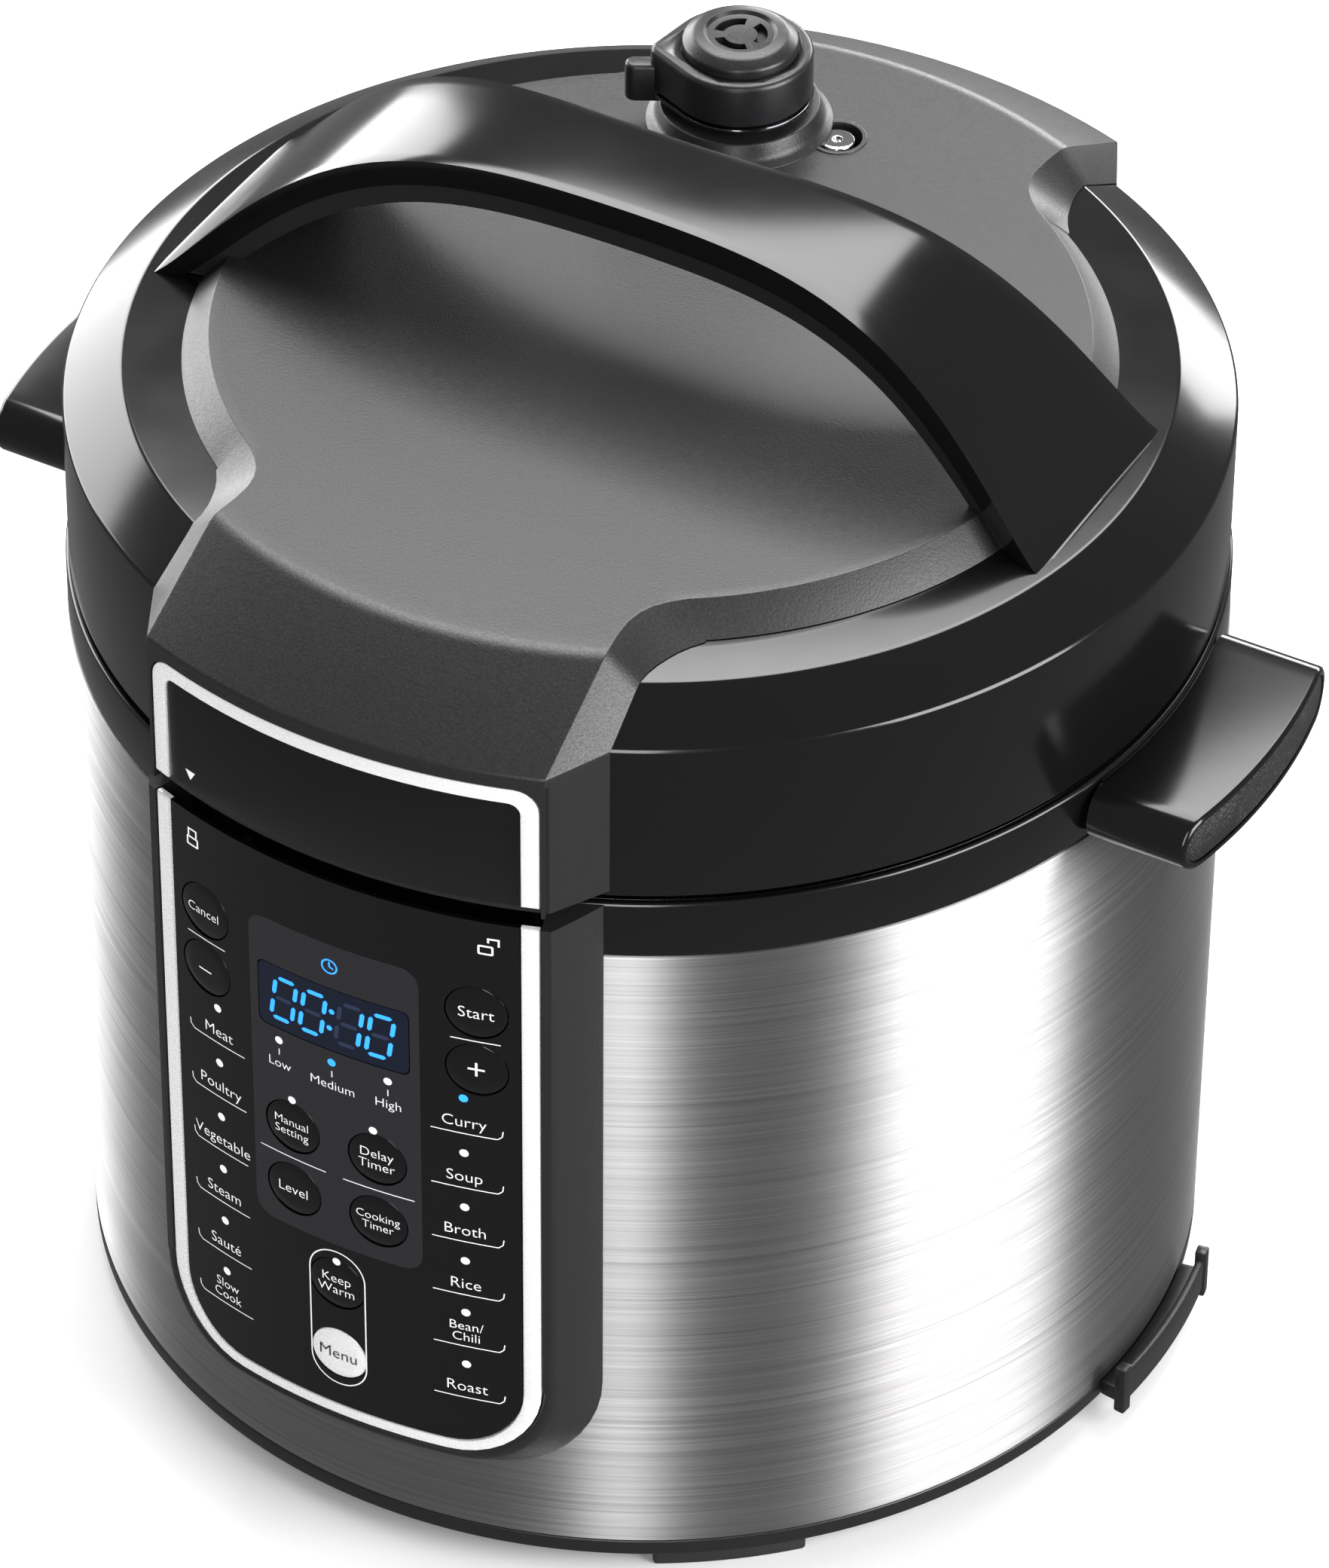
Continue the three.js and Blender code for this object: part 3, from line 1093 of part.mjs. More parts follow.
function valveKnob() {
  const top = KNOB_BOTTOM + KNOB_HEIGHT;
  const round = turned([
    [0, KNOB_BOTTOM],
    [KNOB_RADIUS, KNOB_BOTTOM],
    [KNOB_RADIUS, top - 0.8],
    [KNOB_RADIUS - 0.8, top],
    [14.8, top + 1.8],
    [0, top + 1.8],
  ], ROUND_SIDES);
  const nose = slab(teardrop(KNOB_RADIUS, 18.4, 3.6), KNOB_BOTTOM, top - 0.4, 6);
  const leverShape = rectangle(8, KNOB_LEVER, -2.6, 2.6, 2.5);
  const lever = slab(leverShape, KNOB_BOTTOM - 1.7, top - 4.7, 3);
  const hollow = turned([
    [0, KNOB_BOTTOM - CUT],
    [15.4, KNOB_BOTTOM - CUT],
    [15.4, KNOB_BOTTOM + 9],
    [0, KNOB_BOTTOM + 9],
  ], SMALL_SIDES);
  const boss = rod(0, 0, 9.5, KNOB_BOTTOM, KNOB_BOTTOM + 9.5);
  const bore = rod(0, 0, PIPE_RADIUS + GAP, KNOB_BOTTOM - CUT, KNOB_BOTTOM + 9.7);
  const seat = rod(0, 0, 14.5, top - 0.6, top + CUT, ROUND_SIDES);
  const body = cut(joined(cut(joined(round, nose, lever), hollow), boss), bore, seat);
  const place = [VALVE_X, VALVE_Y, 0];
  piece('valve_knob', body.rotate([0, 0, KNOB_HEADING]).translate(place), SATIN_BLACK);

  const cap = turned([
    [0, top - 0.6 + GAP],
    [14.2, top - 0.6 + GAP],
    [14.2, top + 1.9],
    [11.6, top + 3.6],
    [8.9, top + 4.3],
    [7.4, top + 3.7],
    [0, top + 3.4],
  ], ROUND_SIDES);
  const slots = [0, 120, 240].map((turn) => (
    band(4, 6.6, turn - 44, turn + 44, top + 0.8, top + 10)));
  piece('valve_cap', cut(cap, ...slots).rotate([0, 0, KNOB_HEADING]).translate(place), SATIN_BLACK);
}

function floatValve() {
  const headTop = COVER_TOP - 0.5;
  const guideTop = COVER_TOP - 6.3;
  const place = [FLOAT_X, FLOAT_Y, 0];
  piece('float_guide', turned([
    [3.6, PLATE_TOP + GAP],
    [6.2, PLATE_TOP + GAP],
    [6.2, guideTop],
    [3.6, guideTop],
  ], SMALL_SIDES).translate(place), SATIN_BLACK);
  const flange = PLATE_TOP - 1.5 - FLOAT_TRAVEL - 2.6;
  piece('float_pin', turned([
    [0, flange - 2],
    [5, flange - 2],
    [5, flange],
    [3, flange],
    [3, guideTop + GAP],
    [FLOAT_RADIUS, guideTop + GAP],
    [FLOAT_RADIUS, headTop - 0.4],
    [FLOAT_RADIUS - 0.4, headTop],
    [1.2, headTop],
    [0.9, headTop - 0.8],
    [0, headTop - 0.8],
  ], SMALL_SIDES).translate(place), CHROME);
  piece('float_gasket', turned([
    [3.3, flange + GAP],
    [6, flange + GAP],
    [5.4, flange + 2.3],
    [3.3, flange + 2.3],
  ], SMALL_SIDES).translate(place), SILICONE);
}

// ---------- assembly ----------

baseTray();
feet();
outerShell();
collar();
sideHandle(-1, 'left');
sideHandle(1, 'right');
cordBracket();
condensationCup();
powerInlet();
outerPot();
heatingPlate();
temperatureSensor();
pressureSwitch();
powerBoard();
panelBezel();
panelPlates();
keys();
innerPot();
seal();
lidSkirt();
innerLid();
lidCover();
lidFront();
lidHandle();
steamPipe();
valveKnob();
floatValve();

export default cooker;
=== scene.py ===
# %% [markdown]
# # An electric pressure cooker
# A countertop cooker is a set of turned shells: a brushed steel wall on a black base, a glossy collar, and
# a lid that turns on a bayonet. The engineering model gives every size, and this lesson dresses it: each
# visible shell is remade with fine, smooth surfaces, and each finish is built from what the real one is.

# %% Load the frame
import math

import bmesh
import bpy
from mathutils import Matrix, Vector


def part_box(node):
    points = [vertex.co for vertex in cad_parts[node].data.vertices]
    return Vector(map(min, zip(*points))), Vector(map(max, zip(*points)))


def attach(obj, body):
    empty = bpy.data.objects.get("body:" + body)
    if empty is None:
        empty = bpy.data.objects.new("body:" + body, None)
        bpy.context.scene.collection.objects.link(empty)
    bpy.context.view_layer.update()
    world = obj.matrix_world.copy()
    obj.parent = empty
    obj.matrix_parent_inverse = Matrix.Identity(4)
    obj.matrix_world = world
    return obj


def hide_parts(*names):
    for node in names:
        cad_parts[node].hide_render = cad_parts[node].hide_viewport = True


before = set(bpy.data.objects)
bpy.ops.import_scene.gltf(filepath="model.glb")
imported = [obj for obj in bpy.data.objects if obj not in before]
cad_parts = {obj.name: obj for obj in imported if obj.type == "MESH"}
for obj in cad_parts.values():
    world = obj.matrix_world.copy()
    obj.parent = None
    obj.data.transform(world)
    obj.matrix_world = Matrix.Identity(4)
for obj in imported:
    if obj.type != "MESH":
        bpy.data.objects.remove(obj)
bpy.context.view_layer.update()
MM = 0.001
SEAM = 0.3 * MM

# %% [markdown]
# ## Sizes
# Everything round shares one axis, so most sizes are a radius or a height. They are read from the boxes of
# the engineering pieces, so the surfaces made here land where those pieces are.

# %% Read the main radii and heights


def low(node, axis):
    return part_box(node)[0]["xyz".index(axis)]


def high(node, axis):
    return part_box(node)[1]["xyz".index(axis)]


BODY_R = high("outer_shell", "x")
STEEL_LOW = low("outer_shell", "z")
STEEL_TOP = high("outer_shell", "z")
BASE_LOW = low("base_tray", "z")
COLLAR_R = high("collar", "x")
COLLAR_LOW = STEEL_TOP + SEAM
COLLAR_TOP = high("collar", "z")
SKIRT_R = high("lid_skirt", "x")
SKIRT_LOW = low("lid_skirt", "z")
RING_TOP = high("lid_skirt", "z")
CHAMFER_RISE = 8.7 * MM
CHAMFER_WIDTH = 14.4 * MM
CREASE = RING_TOP - CHAMFER_RISE
RING_R = SKIRT_R - CHAMFER_WIDTH
FRONT_R = high("lid_cover", "y")
TONGUE_LOW = low("lid_cover", "z")
COVER_TOP = high("float_pin", "z") + 0.5 * MM
COVER_FOOT_R = RING_R - 14.1 * MM
COVER_EDGE_R = COVER_FOOT_R - 6.5 * MM
PANEL_TOP = high("panel_face", "z")
PANEL_LOW = low("panel_face", "z")
print("body radius", round(BODY_R / MM, 2), "lid top", round(COVER_TOP / MM, 2))

# %% [markdown]
# ## The camera
# The cooker is seen from in front of its right side and from above, with a long lens that keeps the
# verticals nearly parallel. The camera is placed by its angle round the cooker, its height angle and its
# distance, then turned a very little so that the cooker sits in the frame.

# %% Place the camera
CAMERA_AZIMUTH = math.radians(29.0)
CAMERA_ELEVATION = math.radians(39.77)
CAMERA_DISTANCE = 2.107
CAMERA_TARGET = Vector((0, 0, 0.124))
CAMERA_PAN = math.radians(0.1116)
CAMERA_TILT = math.radians(0.2113)
CAMERA_ROLL = math.radians(0.356)


def linked(name, data):
    """A new object in the scene."""
    made = bpy.data.objects.new(name, data)
    bpy.context.scene.collection.objects.link(made)
    return made


def place_camera():
    level = math.cos(CAMERA_ELEVATION)
    back = Vector((
        math.sin(CAMERA_AZIMUTH) * level,
        -math.cos(CAMERA_AZIMUTH) * level,
        math.sin(CAMERA_ELEVATION),
    ))
    right = Vector((0, 0, 1)).cross(back).normalized()
    up = back.cross(right)
    forward = (-back + math.tan(CAMERA_PAN) * right + math.tan(CAMERA_TILT) * up).normalized()
    right = (right - forward * right.dot(forward)).normalized()
    up = right.cross(forward)
    turned_right = math.cos(CAMERA_ROLL) * right + math.sin(CAMERA_ROLL) * up
    turned_up = -math.sin(CAMERA_ROLL) * right + math.cos(CAMERA_ROLL) * up
    data = bpy.data.cameras.new("camera")
    data.lens = 196.3
    data.sensor_width = 36
    data.sensor_fit = "AUTO"
    data.clip_end = 20
    camera = linked("camera", data)
    axes = Matrix((turned_right, turned_up, -forward)).transposed().to_4x4()
    axes.translation = CAMERA_TARGET + back * CAMERA_DISTANCE
    camera.matrix_world = axes
    bpy.context.scene.camera = camera
    return camera


camera = place_camera()
print("camera at", [round(v, 3) for v in camera.location])

# %% [markdown]
# ## Light
# A product like this is lit in a white tent: a broad soft source overhead, tall strips at the sides that
# draw long vertical highlights in steel and gloss, and dark gaps between them. The gaps matter as much as
# the lights, because they are what black gloss and brushed steel reflect.

# %% Add the soft lights
LOOK_AT = Vector((0, 0, 0.16))


def area_light(name, azimuth, elevation, distance, width, height, power, target=LOOK_AT):
    data = bpy.data.lights.new(name, "AREA")
    data.shape = "RECTANGLE"
    data.size = width
    data.size_y = height
    data.energy = power
    light = linked(name, data)
    a, e = math.radians(azimuth), math.radians(elevation)
    away = Vector((math.sin(a) * math.cos(e), -math.cos(a) * math.cos(e), math.sin(e)))
    light.location = target + away * distance
    light.rotation_euler = away.to_track_quat("Z", "Y").to_euler()
    return light


area_light("overhead", 203, 62, 2.0, 1.6, 1.3, 56)
area_light("front_strip", 25, 24, 1.8, 0.36, 1.5, 15)
area_light("right_wall", 88, 20, 1.7, 1.1, 1.3, 49)
area_light("left_wall", -110, 16, 1.7, 1.6, 1.0, 38)
area_light("rear_wall", 186, 14, 1.9, 1.4, 0.5, 24)

# %% Room light


def set_world():
    world = bpy.data.worlds.new("white_room")
    world.use_nodes = True
    background = world.node_tree.nodes["Background"]
    background.inputs["Color"].default_value = (1, 1, 1, 1)
    background.inputs["Strength"].default_value = 0.22
    bpy.context.scene.world = world
    bpy.context.scene.view_settings.view_transform = "Standard"


set_world()

# %% [markdown]
# ## The floor
# One pale matte sheet under the feet, so large that its edge never shows. Mirrors don't see it, the way a
# studio lays black card round the foot of a glossy product, so black gloss stays black.

# %% Lay the floor


def make_floor():
    bm = bmesh.new()
    bmesh.ops.create_grid(bm, x_segments=1, y_segments=1, size=6)
    mesh = bpy.data.meshes.new("floor")
    bm.to_mesh(mesh)
    bm.free()
    floor = linked("floor", mesh)
    floor.visible_glossy = False
    return floor


floor = make_floor()

# %% [markdown]
# ## Finishes
# Each material starts from the real stuff: its colour as a hex value, how shiny it is, and the marks that
# making it left. Three small helpers do the bookkeeping: one turns a hex colour into the linear values that
# a shader wants, one starts a material, and one adds a node with its settings and links.

# %% Material helpers


def linear(colour):
    channels = [int(colour[i:i + 2], 16) / 255 for i in (0, 2, 4)]
    return [c / 12.92 if c <= 0.04045 else ((c + 0.055) / 1.055) ** 2.4 for c in channels] + [1.0]


def start_material(name, colour, **sockets):
    material = bpy.data.materials.new(name)
    material.use_nodes = True
    shader = material.node_tree.nodes["Principled BSDF"]
    shader.inputs["Base Color"].default_value = linear(colour)
    for socket, value in sockets.items():
        shader.inputs[socket.replace("_", " ").title().replace("Ior", "IOR")].default_value = value
    return material, material.node_tree, shader


def add(tree, kind, inputs=None, **settings):
    made = tree.nodes.new(kind)
    for name, value in settings.items():
        setattr(made, name, value)
    for socket, value in (inputs or {}).items():
        if isinstance(value, bpy.types.NodeSocket):
            tree.links.new(value, made.inputs[socket])
        else:
            made.inputs[socket].default_value = value
    return made


def feed(shader, tree, **nodes):
    """Links the first output of each node to the shader's socket of that name."""
    for socket, node in nodes.items():
        tree.links.new(node.outputs[0], shader.inputs[socket.replace("_", " ")])


def per_mm(size):
    """How many pattern cells fit in a metre when each is size millimetres."""
    return 1000 / size


# %% [markdown]
# **Brushed stainless steel.** The wall is sheet steel drawn past an abrasive belt while it turns, so its
# scratches run round it: each is a few hundredths of a millimetre wide and some centimetres long. They are
# drawn wider here so that they show. Noise that is stretched round the wall gives them, and it moves the
# roughness, the height and a trace of the colour.

# %% Brushed steel


def make_brushed_steel():
    material, tree, shader = start_material("stainless_steel_brushed", "ACABAB", metallic=1.0,
                                            anisotropic=1.0, anisotropic_rotation=0.25)
    where = add(tree, "ShaderNodeTexCoord").outputs["Object"]
    fine = add(tree, "ShaderNodeMapping", {0: where, "Scale": (per_mm(90), per_mm(90), per_mm(0.35))})
    broad = add(tree, "ShaderNodeMapping", {0: where, "Scale": (per_mm(150), per_mm(150), per_mm(1.2))})
    scratches = add(tree, "ShaderNodeTexNoise", {0: fine.outputs[0], "Scale": 1.0, "Detail": 5.0,
                                                 "Roughness": 0.7})
    bands = add(tree, "ShaderNodeTexNoise", {0: broad.outputs[0], "Scale": 1.0, "Detail": 3.0})
    both = add(tree, "ShaderNodeMix", {0: 0.3, 2: scratches.outputs[0], 3: bands.outputs[0]})
    rough = add(tree, "ShaderNodeMapRange", {0: both.outputs[0], 1: 0.3, 2: 0.7, 3: 0.40, 4: 0.50})
    tint = add(tree, "ShaderNodeValToRGB", {0: both.outputs[0]})
    tint.color_ramp.elements[0].position = 0.36
    tint.color_ramp.elements[0].color = linear("9E9D9D")
    tint.color_ramp.elements[1].position = 0.64
    tint.color_ramp.elements[1].color = linear("C0BFBF")
    bump = add(tree, "ShaderNodeBump", {"Strength": 0.12, "Distance": 0.01 * MM,
                                        "Height": scratches.outputs[0]})
    around = add(tree, "ShaderNodeTangent", direction_type="RADIAL", axis="Z")
    feed(shader, tree, Tangent=around, Base_Color=tint, Roughness=rough, Normal=bump)
    return material


STEEL = make_brushed_steel()

# %% [markdown]
# **Paper.** The floor is a roll of white studio paper, matt, with a slight tooth.

# %% Paper floor


def make_paper():
    material, tree, shader = start_material("paper_white", "F0F0F0", roughness=0.9)
    where = add(tree, "ShaderNodeTexCoord").outputs["Object"]
    tooth = add(tree, "ShaderNodeTexNoise", {0: where, "Scale": per_mm(3), "Detail": 2.0})
    bump = add(tree, "ShaderNodeBump", {"Strength": 0.1, "Distance": 0.1 * MM, "Height": tooth.outputs[0]})
    feed(shader, tree, Normal=bump)
    return material


floor.data.materials.append(make_paper())

# %% [markdown]
# **Moulded plastics.** The collar, ring, handles and panel are ABS from a polished mould, nearly a mirror
# with a faint waviness. The cover, the bezel and the underside of the handle come from an etched mould, and
# their fine pebbled grain scatters the light. Knob and base are in between.

# %% Plastics


def make_plastic(name, colour, roughness, grain_mm, height_mm, strength=0.3, spread=0.06):
    material, tree, shader = start_material(name, colour, roughness=roughness, ior=1.5)
    where = add(tree, "ShaderNodeTexCoord").outputs["Object"]
    grain = add(tree, "ShaderNodeTexNoise", {0: where, "Scale": per_mm(grain_mm), "Detail": 2.0})
    low_rough, high_rough = max(0.02, roughness - spread), roughness + spread
    rough = add(tree, "ShaderNodeMapRange", {0: grain.outputs[0], 1: 0.3, 2: 0.7, 3: low_rough,
                                             4: high_rough})
    bump = add(tree, "ShaderNodeBump", {"Strength": strength, "Distance": height_mm * MM,
                                        "Height": grain.outputs[0]})
    feed(shader, tree, Roughness=rough, Normal=bump)
    return material


GLOSS = make_plastic("abs_black_polished", "0A0A0B", 0.15, 22, 0.02, strength=0.08, spread=0.015)
PANEL = make_plastic("acrylic_black_polished", "08080A", 0.12, 22, 0.02, strength=0.05, spread=0.015)
TEXTURED = make_plastic("abs_black_etched", "1C1C1D", 0.38, 0.6, 0.08, strength=0.6)
SATIN = make_plastic("polyamide_black_satin", "19191B", 0.34, 0.6, 0.03, strength=0.25)
RUBBER = make_plastic("silicone_rubber_black", "202021", 0.75, 0.5, 0.05, strength=0.4)
SILICONE = make_plastic("silicone_clear_grey", "CFD1CF", 0.42, 1.2, 0.03, strength=0.2)

# %% [markdown]
# **Grained insert.** The strip let into the end of each side handle is moulded with a leather grain: small
# rounded pebbles, about a millimetre across, with creases between them. Voronoi cells give such pebbles.

# %% Leather grain


def make_leather_grain():
    material, tree, shader = start_material("abs_black_leather_grain", "161617", roughness=0.5, ior=1.5)
    where = add(tree, "ShaderNodeTexCoord").outputs["Object"]
    warp = add(tree, "ShaderNodeTexNoise", {0: where, "Scale": per_mm(2.0), "Detail": 1.0})
    moved = add(tree, "ShaderNodeVectorMath", {0: warp.outputs[1], 1: (0.0006, 0.0006, 0.0006)},
                operation="MULTIPLY")
    bent = add(tree, "ShaderNodeVectorMath", {0: where, 1: moved.outputs[0]}, operation="ADD")
    pebbles = add(tree, "ShaderNodeTexVoronoi", {"Vector": bent.outputs[0], "Scale": per_mm(1.1)},
                  feature="DISTANCE_TO_EDGE")
    height = add(tree, "ShaderNodeMapRange", {0: pebbles.outputs[0], 1: 0.0, 2: 0.22, 3: 0.0, 4: 1.0})
    bump = add(tree, "ShaderNodeBump", {"Strength": 0.8, "Distance": 0.2 * MM, "Height": height.outputs[0]})
    feed(shader, tree, Normal=bump)
    return material


LEATHER = make_leather_grain()

# %% [markdown]
# **Metals and glass.** Chrome plating is close to a perfect mirror. The inner lid, the well and the small
# parts under the lid are stamped steel with a soft satin, spun marks round the axis on the turned ones. The
# heater is cast aluminium, grainy and dull. The pot has a dark non-stick coat with a faint sparkle.

# %% Metals, coating and clear plastic


def make_metal(name, colour, roughness, grain_mm, strength):
    material, tree, shader = start_material(name, colour, metallic=1.0, roughness=roughness)
    where = add(tree, "ShaderNodeTexCoord").outputs["Object"]
    grain = add(tree, "ShaderNodeTexNoise", {0: where, "Scale": per_mm(grain_mm), "Detail": 3.0})
    rough = add(tree, "ShaderNodeMapRange", {0: grain.outputs[0], 1: 0.3, 2: 0.7, 3: roughness * 0.8,
                                             4: roughness * 1.25})
    bump = add(tree, "ShaderNodeBump", {"Strength": strength, "Distance": 0.03 * MM,
                                        "Height": grain.outputs[0]})
    feed(shader, tree, Roughness=rough, Normal=bump)
    return material


CHROME = make_metal("chrome_plating", "E4E4E6", 0.06, 30, 0.02)
CHROME_DARK = make_metal("chrome_plating_dark", "6E6F72", 0.12, 20, 0.02)
STAMPED = make_metal("stainless_steel_stamped", "C4C3C1", 0.24, 1.5, 0.15)
CAST = make_metal("aluminium_cast", "ADAEB0", 0.5, 0.8, 0.5)
NON_STICK = make_plastic("ptfe_coating_grey", "343437", 0.3, 0.5, 0.03, strength=0.3)
BOARD = make_plastic("glass_epoxy_green", "1F5A3A", 0.45, 0.7, 0.02)
WINDOW = make_plastic("acrylic_smoked_blue", "0A1224", 0.06, 20, 0.01, strength=0.05, spread=0.01)


def make_clear_plastic():
    material, tree, shader = start_material("polycarbonate_clear", "DDE6E8", roughness=0.08, ior=1.58)
    shader.inputs["Transmission Weight"].default_value = 0.85
    return material


CLEAR = make_clear_plastic()

# %% [markdown]
# **Printing and light.** The panel's words and lines are screen-printed in matt white ink. The silver frame
# and the round key are sprayed with a lacquer full of fine metal flakes, part metal and part paint. The lit
# figures and signs are blue diodes behind a smoked window, so they glow a little.

# %% Ink and glow


def make_ink(name, colour):
    return start_material(name, colour, roughness=0.55)[0]


def make_glow(name, colour, strength):
    material, tree, shader = start_material(name, colour, roughness=0.3)
    shader.inputs["Emission Color"].default_value = linear(colour)
    shader.inputs["Emission Strength"].default_value = strength
    return material


WHITE_INK = make_ink("ink_white", "E9E9EB")
DARK_INK = make_ink("ink_black", "101012")
SHADE_INK = make_plastic("acrylic_smoked_grey", "222226", 0.12, 20, 0.01, strength=0.05, spread=0.01)
UNLIT = make_ink("segment_unlit", "1B2A4C")
SILVER = make_metal("silver_lacquer_sprayed", "F0F0F1", 0.26, 0.4, 0.02)
SILVER.node_tree.nodes["Principled BSDF"].inputs["Metallic"].default_value = 0.3
BLUE_GLOW = make_glow("diode_blue", "1E86F2", 1.2)
print("finishes:", len(bpy.data.materials))

# %% [markdown]
# ## Shape helpers
# A profile is a few corners, and most corners are rounded, so one helper turns [x, y, radius] corners into
# points with arcs. Another spins a profile about an upright axis. Plates for the curved front are cut flat,
# sliced into narrow strips and then wrapped round the axis. The last helper makes the finished object: it
# merges doubles, turns the faces outwards, smooths all but the sharp edges and puts the piece on its body.

# %% Small mesh helpers


def only(items, kind):
    return [item for item in items if isinstance(item, kind)]


def rotate(bm, angle, axis="Z"):
    bmesh.ops.rotate(bm, verts=bm.verts, cent=(0, 0, 0), matrix=Matrix.Rotation(angle, 3, axis))


def join(bm, piece):
    """Moves the faces of one bmesh into another."""
    mesh = bpy.data.meshes.new("joined")
    piece.to_mesh(mesh)
    piece.free()
    bm.from_mesh(mesh)
    bpy.data.meshes.remove(mesh)


# %% Outlines with rounded corners


def rounded(corners, pieces=6, closed=True):
    points = []
    count = len(corners)
    for i, corner in enumerate(corners):
        here = Vector(corner[:2])
        radius = corner[2] if len(corner) > 2 else 0
        if radius == 0 or (not closed and i in (0, count - 1)):
            points.append(here)
            continue
        back = (Vector(corners[i - 1][:2]) - here).normalized()
        ahead = (Vector(corners[(i + 1) % count][:2]) - here).normalized()
        half = back.angle(ahead) / 2
        centre = here + (back + ahead).normalized() * radius / math.sin(half)
        start = here + back * radius / math.tan(half) - centre
        sweep = math.pi - 2 * half
        if back.cross(ahead) > 0:
            sweep = -sweep
        for step in range(pieces + 1):
            turn = sweep * step / pieces
            points.append(centre + Vector((
                start.x * math.cos(turn) - start.y * math.sin(turn),
                start.x * math.sin(turn) + start.y * math.cos(turn),
            )))
    return points


def rectangle(x0, x1, y0, y1, radius=0):
    return [(x0, y0, radius), (x1, y0, radius), (x1, y1, radius), (x0, y1, radius)]


def circle(x, y, radius, pieces=32):
    steps = [2 * math.pi * i / pieces for i in range(pieces)]
    return [Vector((x + radius * math.cos(a), y + radius * math.sin(a))) for a in steps]


# %% Turned shells
ROUNDEST = 256
FINE = 192
SMALL = 64


def turned(profile, steps=FINE, centre=(0, 0), closed=True, pieces=4):
    bm = bmesh.new()
    points = rounded(profile, pieces, closed)
    verts = [bm.verts.new((p.x + centre[0], centre[1], p.y)) for p in points]
    pairs = list(zip(verts, verts[1:]))
    if closed:
        pairs.append((verts[-1], verts[0]))
    edges = [bm.edges.new(pair) for pair in pairs if (pair[0].co - pair[1].co).length > 1e-7]
    bmesh.ops.spin(bm, geom=verts + edges, cent=(*centre, 0), axis=(0, 0, 1), angle=2 * math.pi,
                   steps=steps, use_merge=True)
    return bm


# %% Flat plates, in the plane that faces the front


def outline_edges(bm, points, depth):
    verts = [bm.verts.new((p[0], depth, p[1])) for p in points]
    return [bm.edges.new((verts[i - 1], verts[i])) for i in range(len(verts))]


def plate(bm, points, front, back, holes=()):
    """A plate between two depths (y, the front one is the smaller), with holes through it."""
    edges = outline_edges(bm, points, front)
    for hole in holes:
        edges += outline_edges(bm, hole, front)
    filled = bmesh.ops.triangle_fill(bm, edges=edges, use_beauty=True, use_dissolve=False,
                                     normal=(0, -1, 0))
    faces = only(filled["geom"], bmesh.types.BMFace)
    grown = bmesh.ops.extrude_face_region(bm, geom=faces, use_keep_orig=True)
    moved = only(grown["geom"], bmesh.types.BMVert)
    bmesh.ops.translate(bm, verts=moved, vec=(0, back - front, 0))
    return faces


def sliced(bm, step, axis=0):
    places = [v.co[axis] for v in bm.verts]
    first, last = math.ceil(min(places) / step), math.floor(max(places) / step)
    normal = [0, 0, 0]
    normal[axis] = 1
    for i in range(first, last + 1):
        bmesh.ops.bisect_plane(bm, geom=bm.verts[:] + bm.edges[:] + bm.faces[:], dist=1e-6,
                               plane_co=[i * step * n for n in normal], plane_no=normal)
    return bm


def wrapped(bm, radius, around=0.0):
    """Rolls what was built flat: x becomes distance round a drum of that radius, y stays the depth."""
    for v in bm.verts:
        angle = v.co.x / radius + around
        reach = radius - v.co.y
        v.co = (reach * math.sin(angle), -reach * math.cos(angle), v.co.z)
    return bm


# %% Finished pieces


def mesh_of(name, bm, material, sharp=35):
    bmesh.ops.remove_doubles(bm, verts=bm.verts, dist=1e-6)
    bmesh.ops.dissolve_degenerate(bm, edges=bm.edges, dist=1e-7)
    bmesh.ops.recalc_face_normals(bm, faces=bm.faces)
    for face in bm.faces:
        face.smooth = True
    for edge in bm.edges:
        edge.smooth = len(edge.link_faces) == 2 and edge.calc_face_angle() < math.radians(sharp)
    mesh = bpy.data.meshes.new(name)
    bm.to_mesh(mesh)
    bm.free()
    mesh.materials.append(material)
    made = linked(name, mesh)
    return made


def place(made, body, stands_for=()):
    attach(made, body)
    if stands_for:
        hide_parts(*stands_for)
    return made


def soften(bm, radius, pieces=3, angle=50, chosen=lambda edge: True):
    """Rounds the sharp edges of a mesh."""
    bmesh.ops.remove_doubles(bm, verts=bm.verts, dist=1e-6)
    bmesh.ops.recalc_face_normals(bm, faces=bm.faces)
    edges = [e for e in bm.edges if len(e.link_faces) == 2
             and e.calc_face_angle() > math.radians(angle) and chosen(e)]
    bmesh.ops.bevel(bm, geom=edges, offset=radius, offset_type="OFFSET", affect="EDGES", segments=pieces,
                    profile=0.5, material=-1, clamp_overlap=True)
    return bm


def modified(made):
    """Applies a piece's modifiers, so that its mesh is final."""
    view = bpy.context.evaluated_depsgraph_get()
    finished = bpy.data.meshes.new_from_object(made.evaluated_get(view))
    made.modifiers.clear()
    made.data = finished
    return made


def cut_out(made, cutter_bm):
    """Cuts a shape out of a piece."""
    bmesh.ops.remove_doubles(cutter_bm, verts=cutter_bm.verts, dist=1e-6)
    bmesh.ops.recalc_face_normals(cutter_bm, faces=cutter_bm.faces)
    mesh = bpy.data.meshes.new("cutter")
    cutter_bm.to_mesh(mesh)
    cutter_bm.free()
    cutter = linked("cutter", mesh)
    step = made.modifiers.new("cut", "BOOLEAN")
    step.operation = "DIFFERENCE"
    step.solver = "EXACT"
    step.object = cutter
    modified(made)
    bpy.data.objects.remove(cutter)
    return made


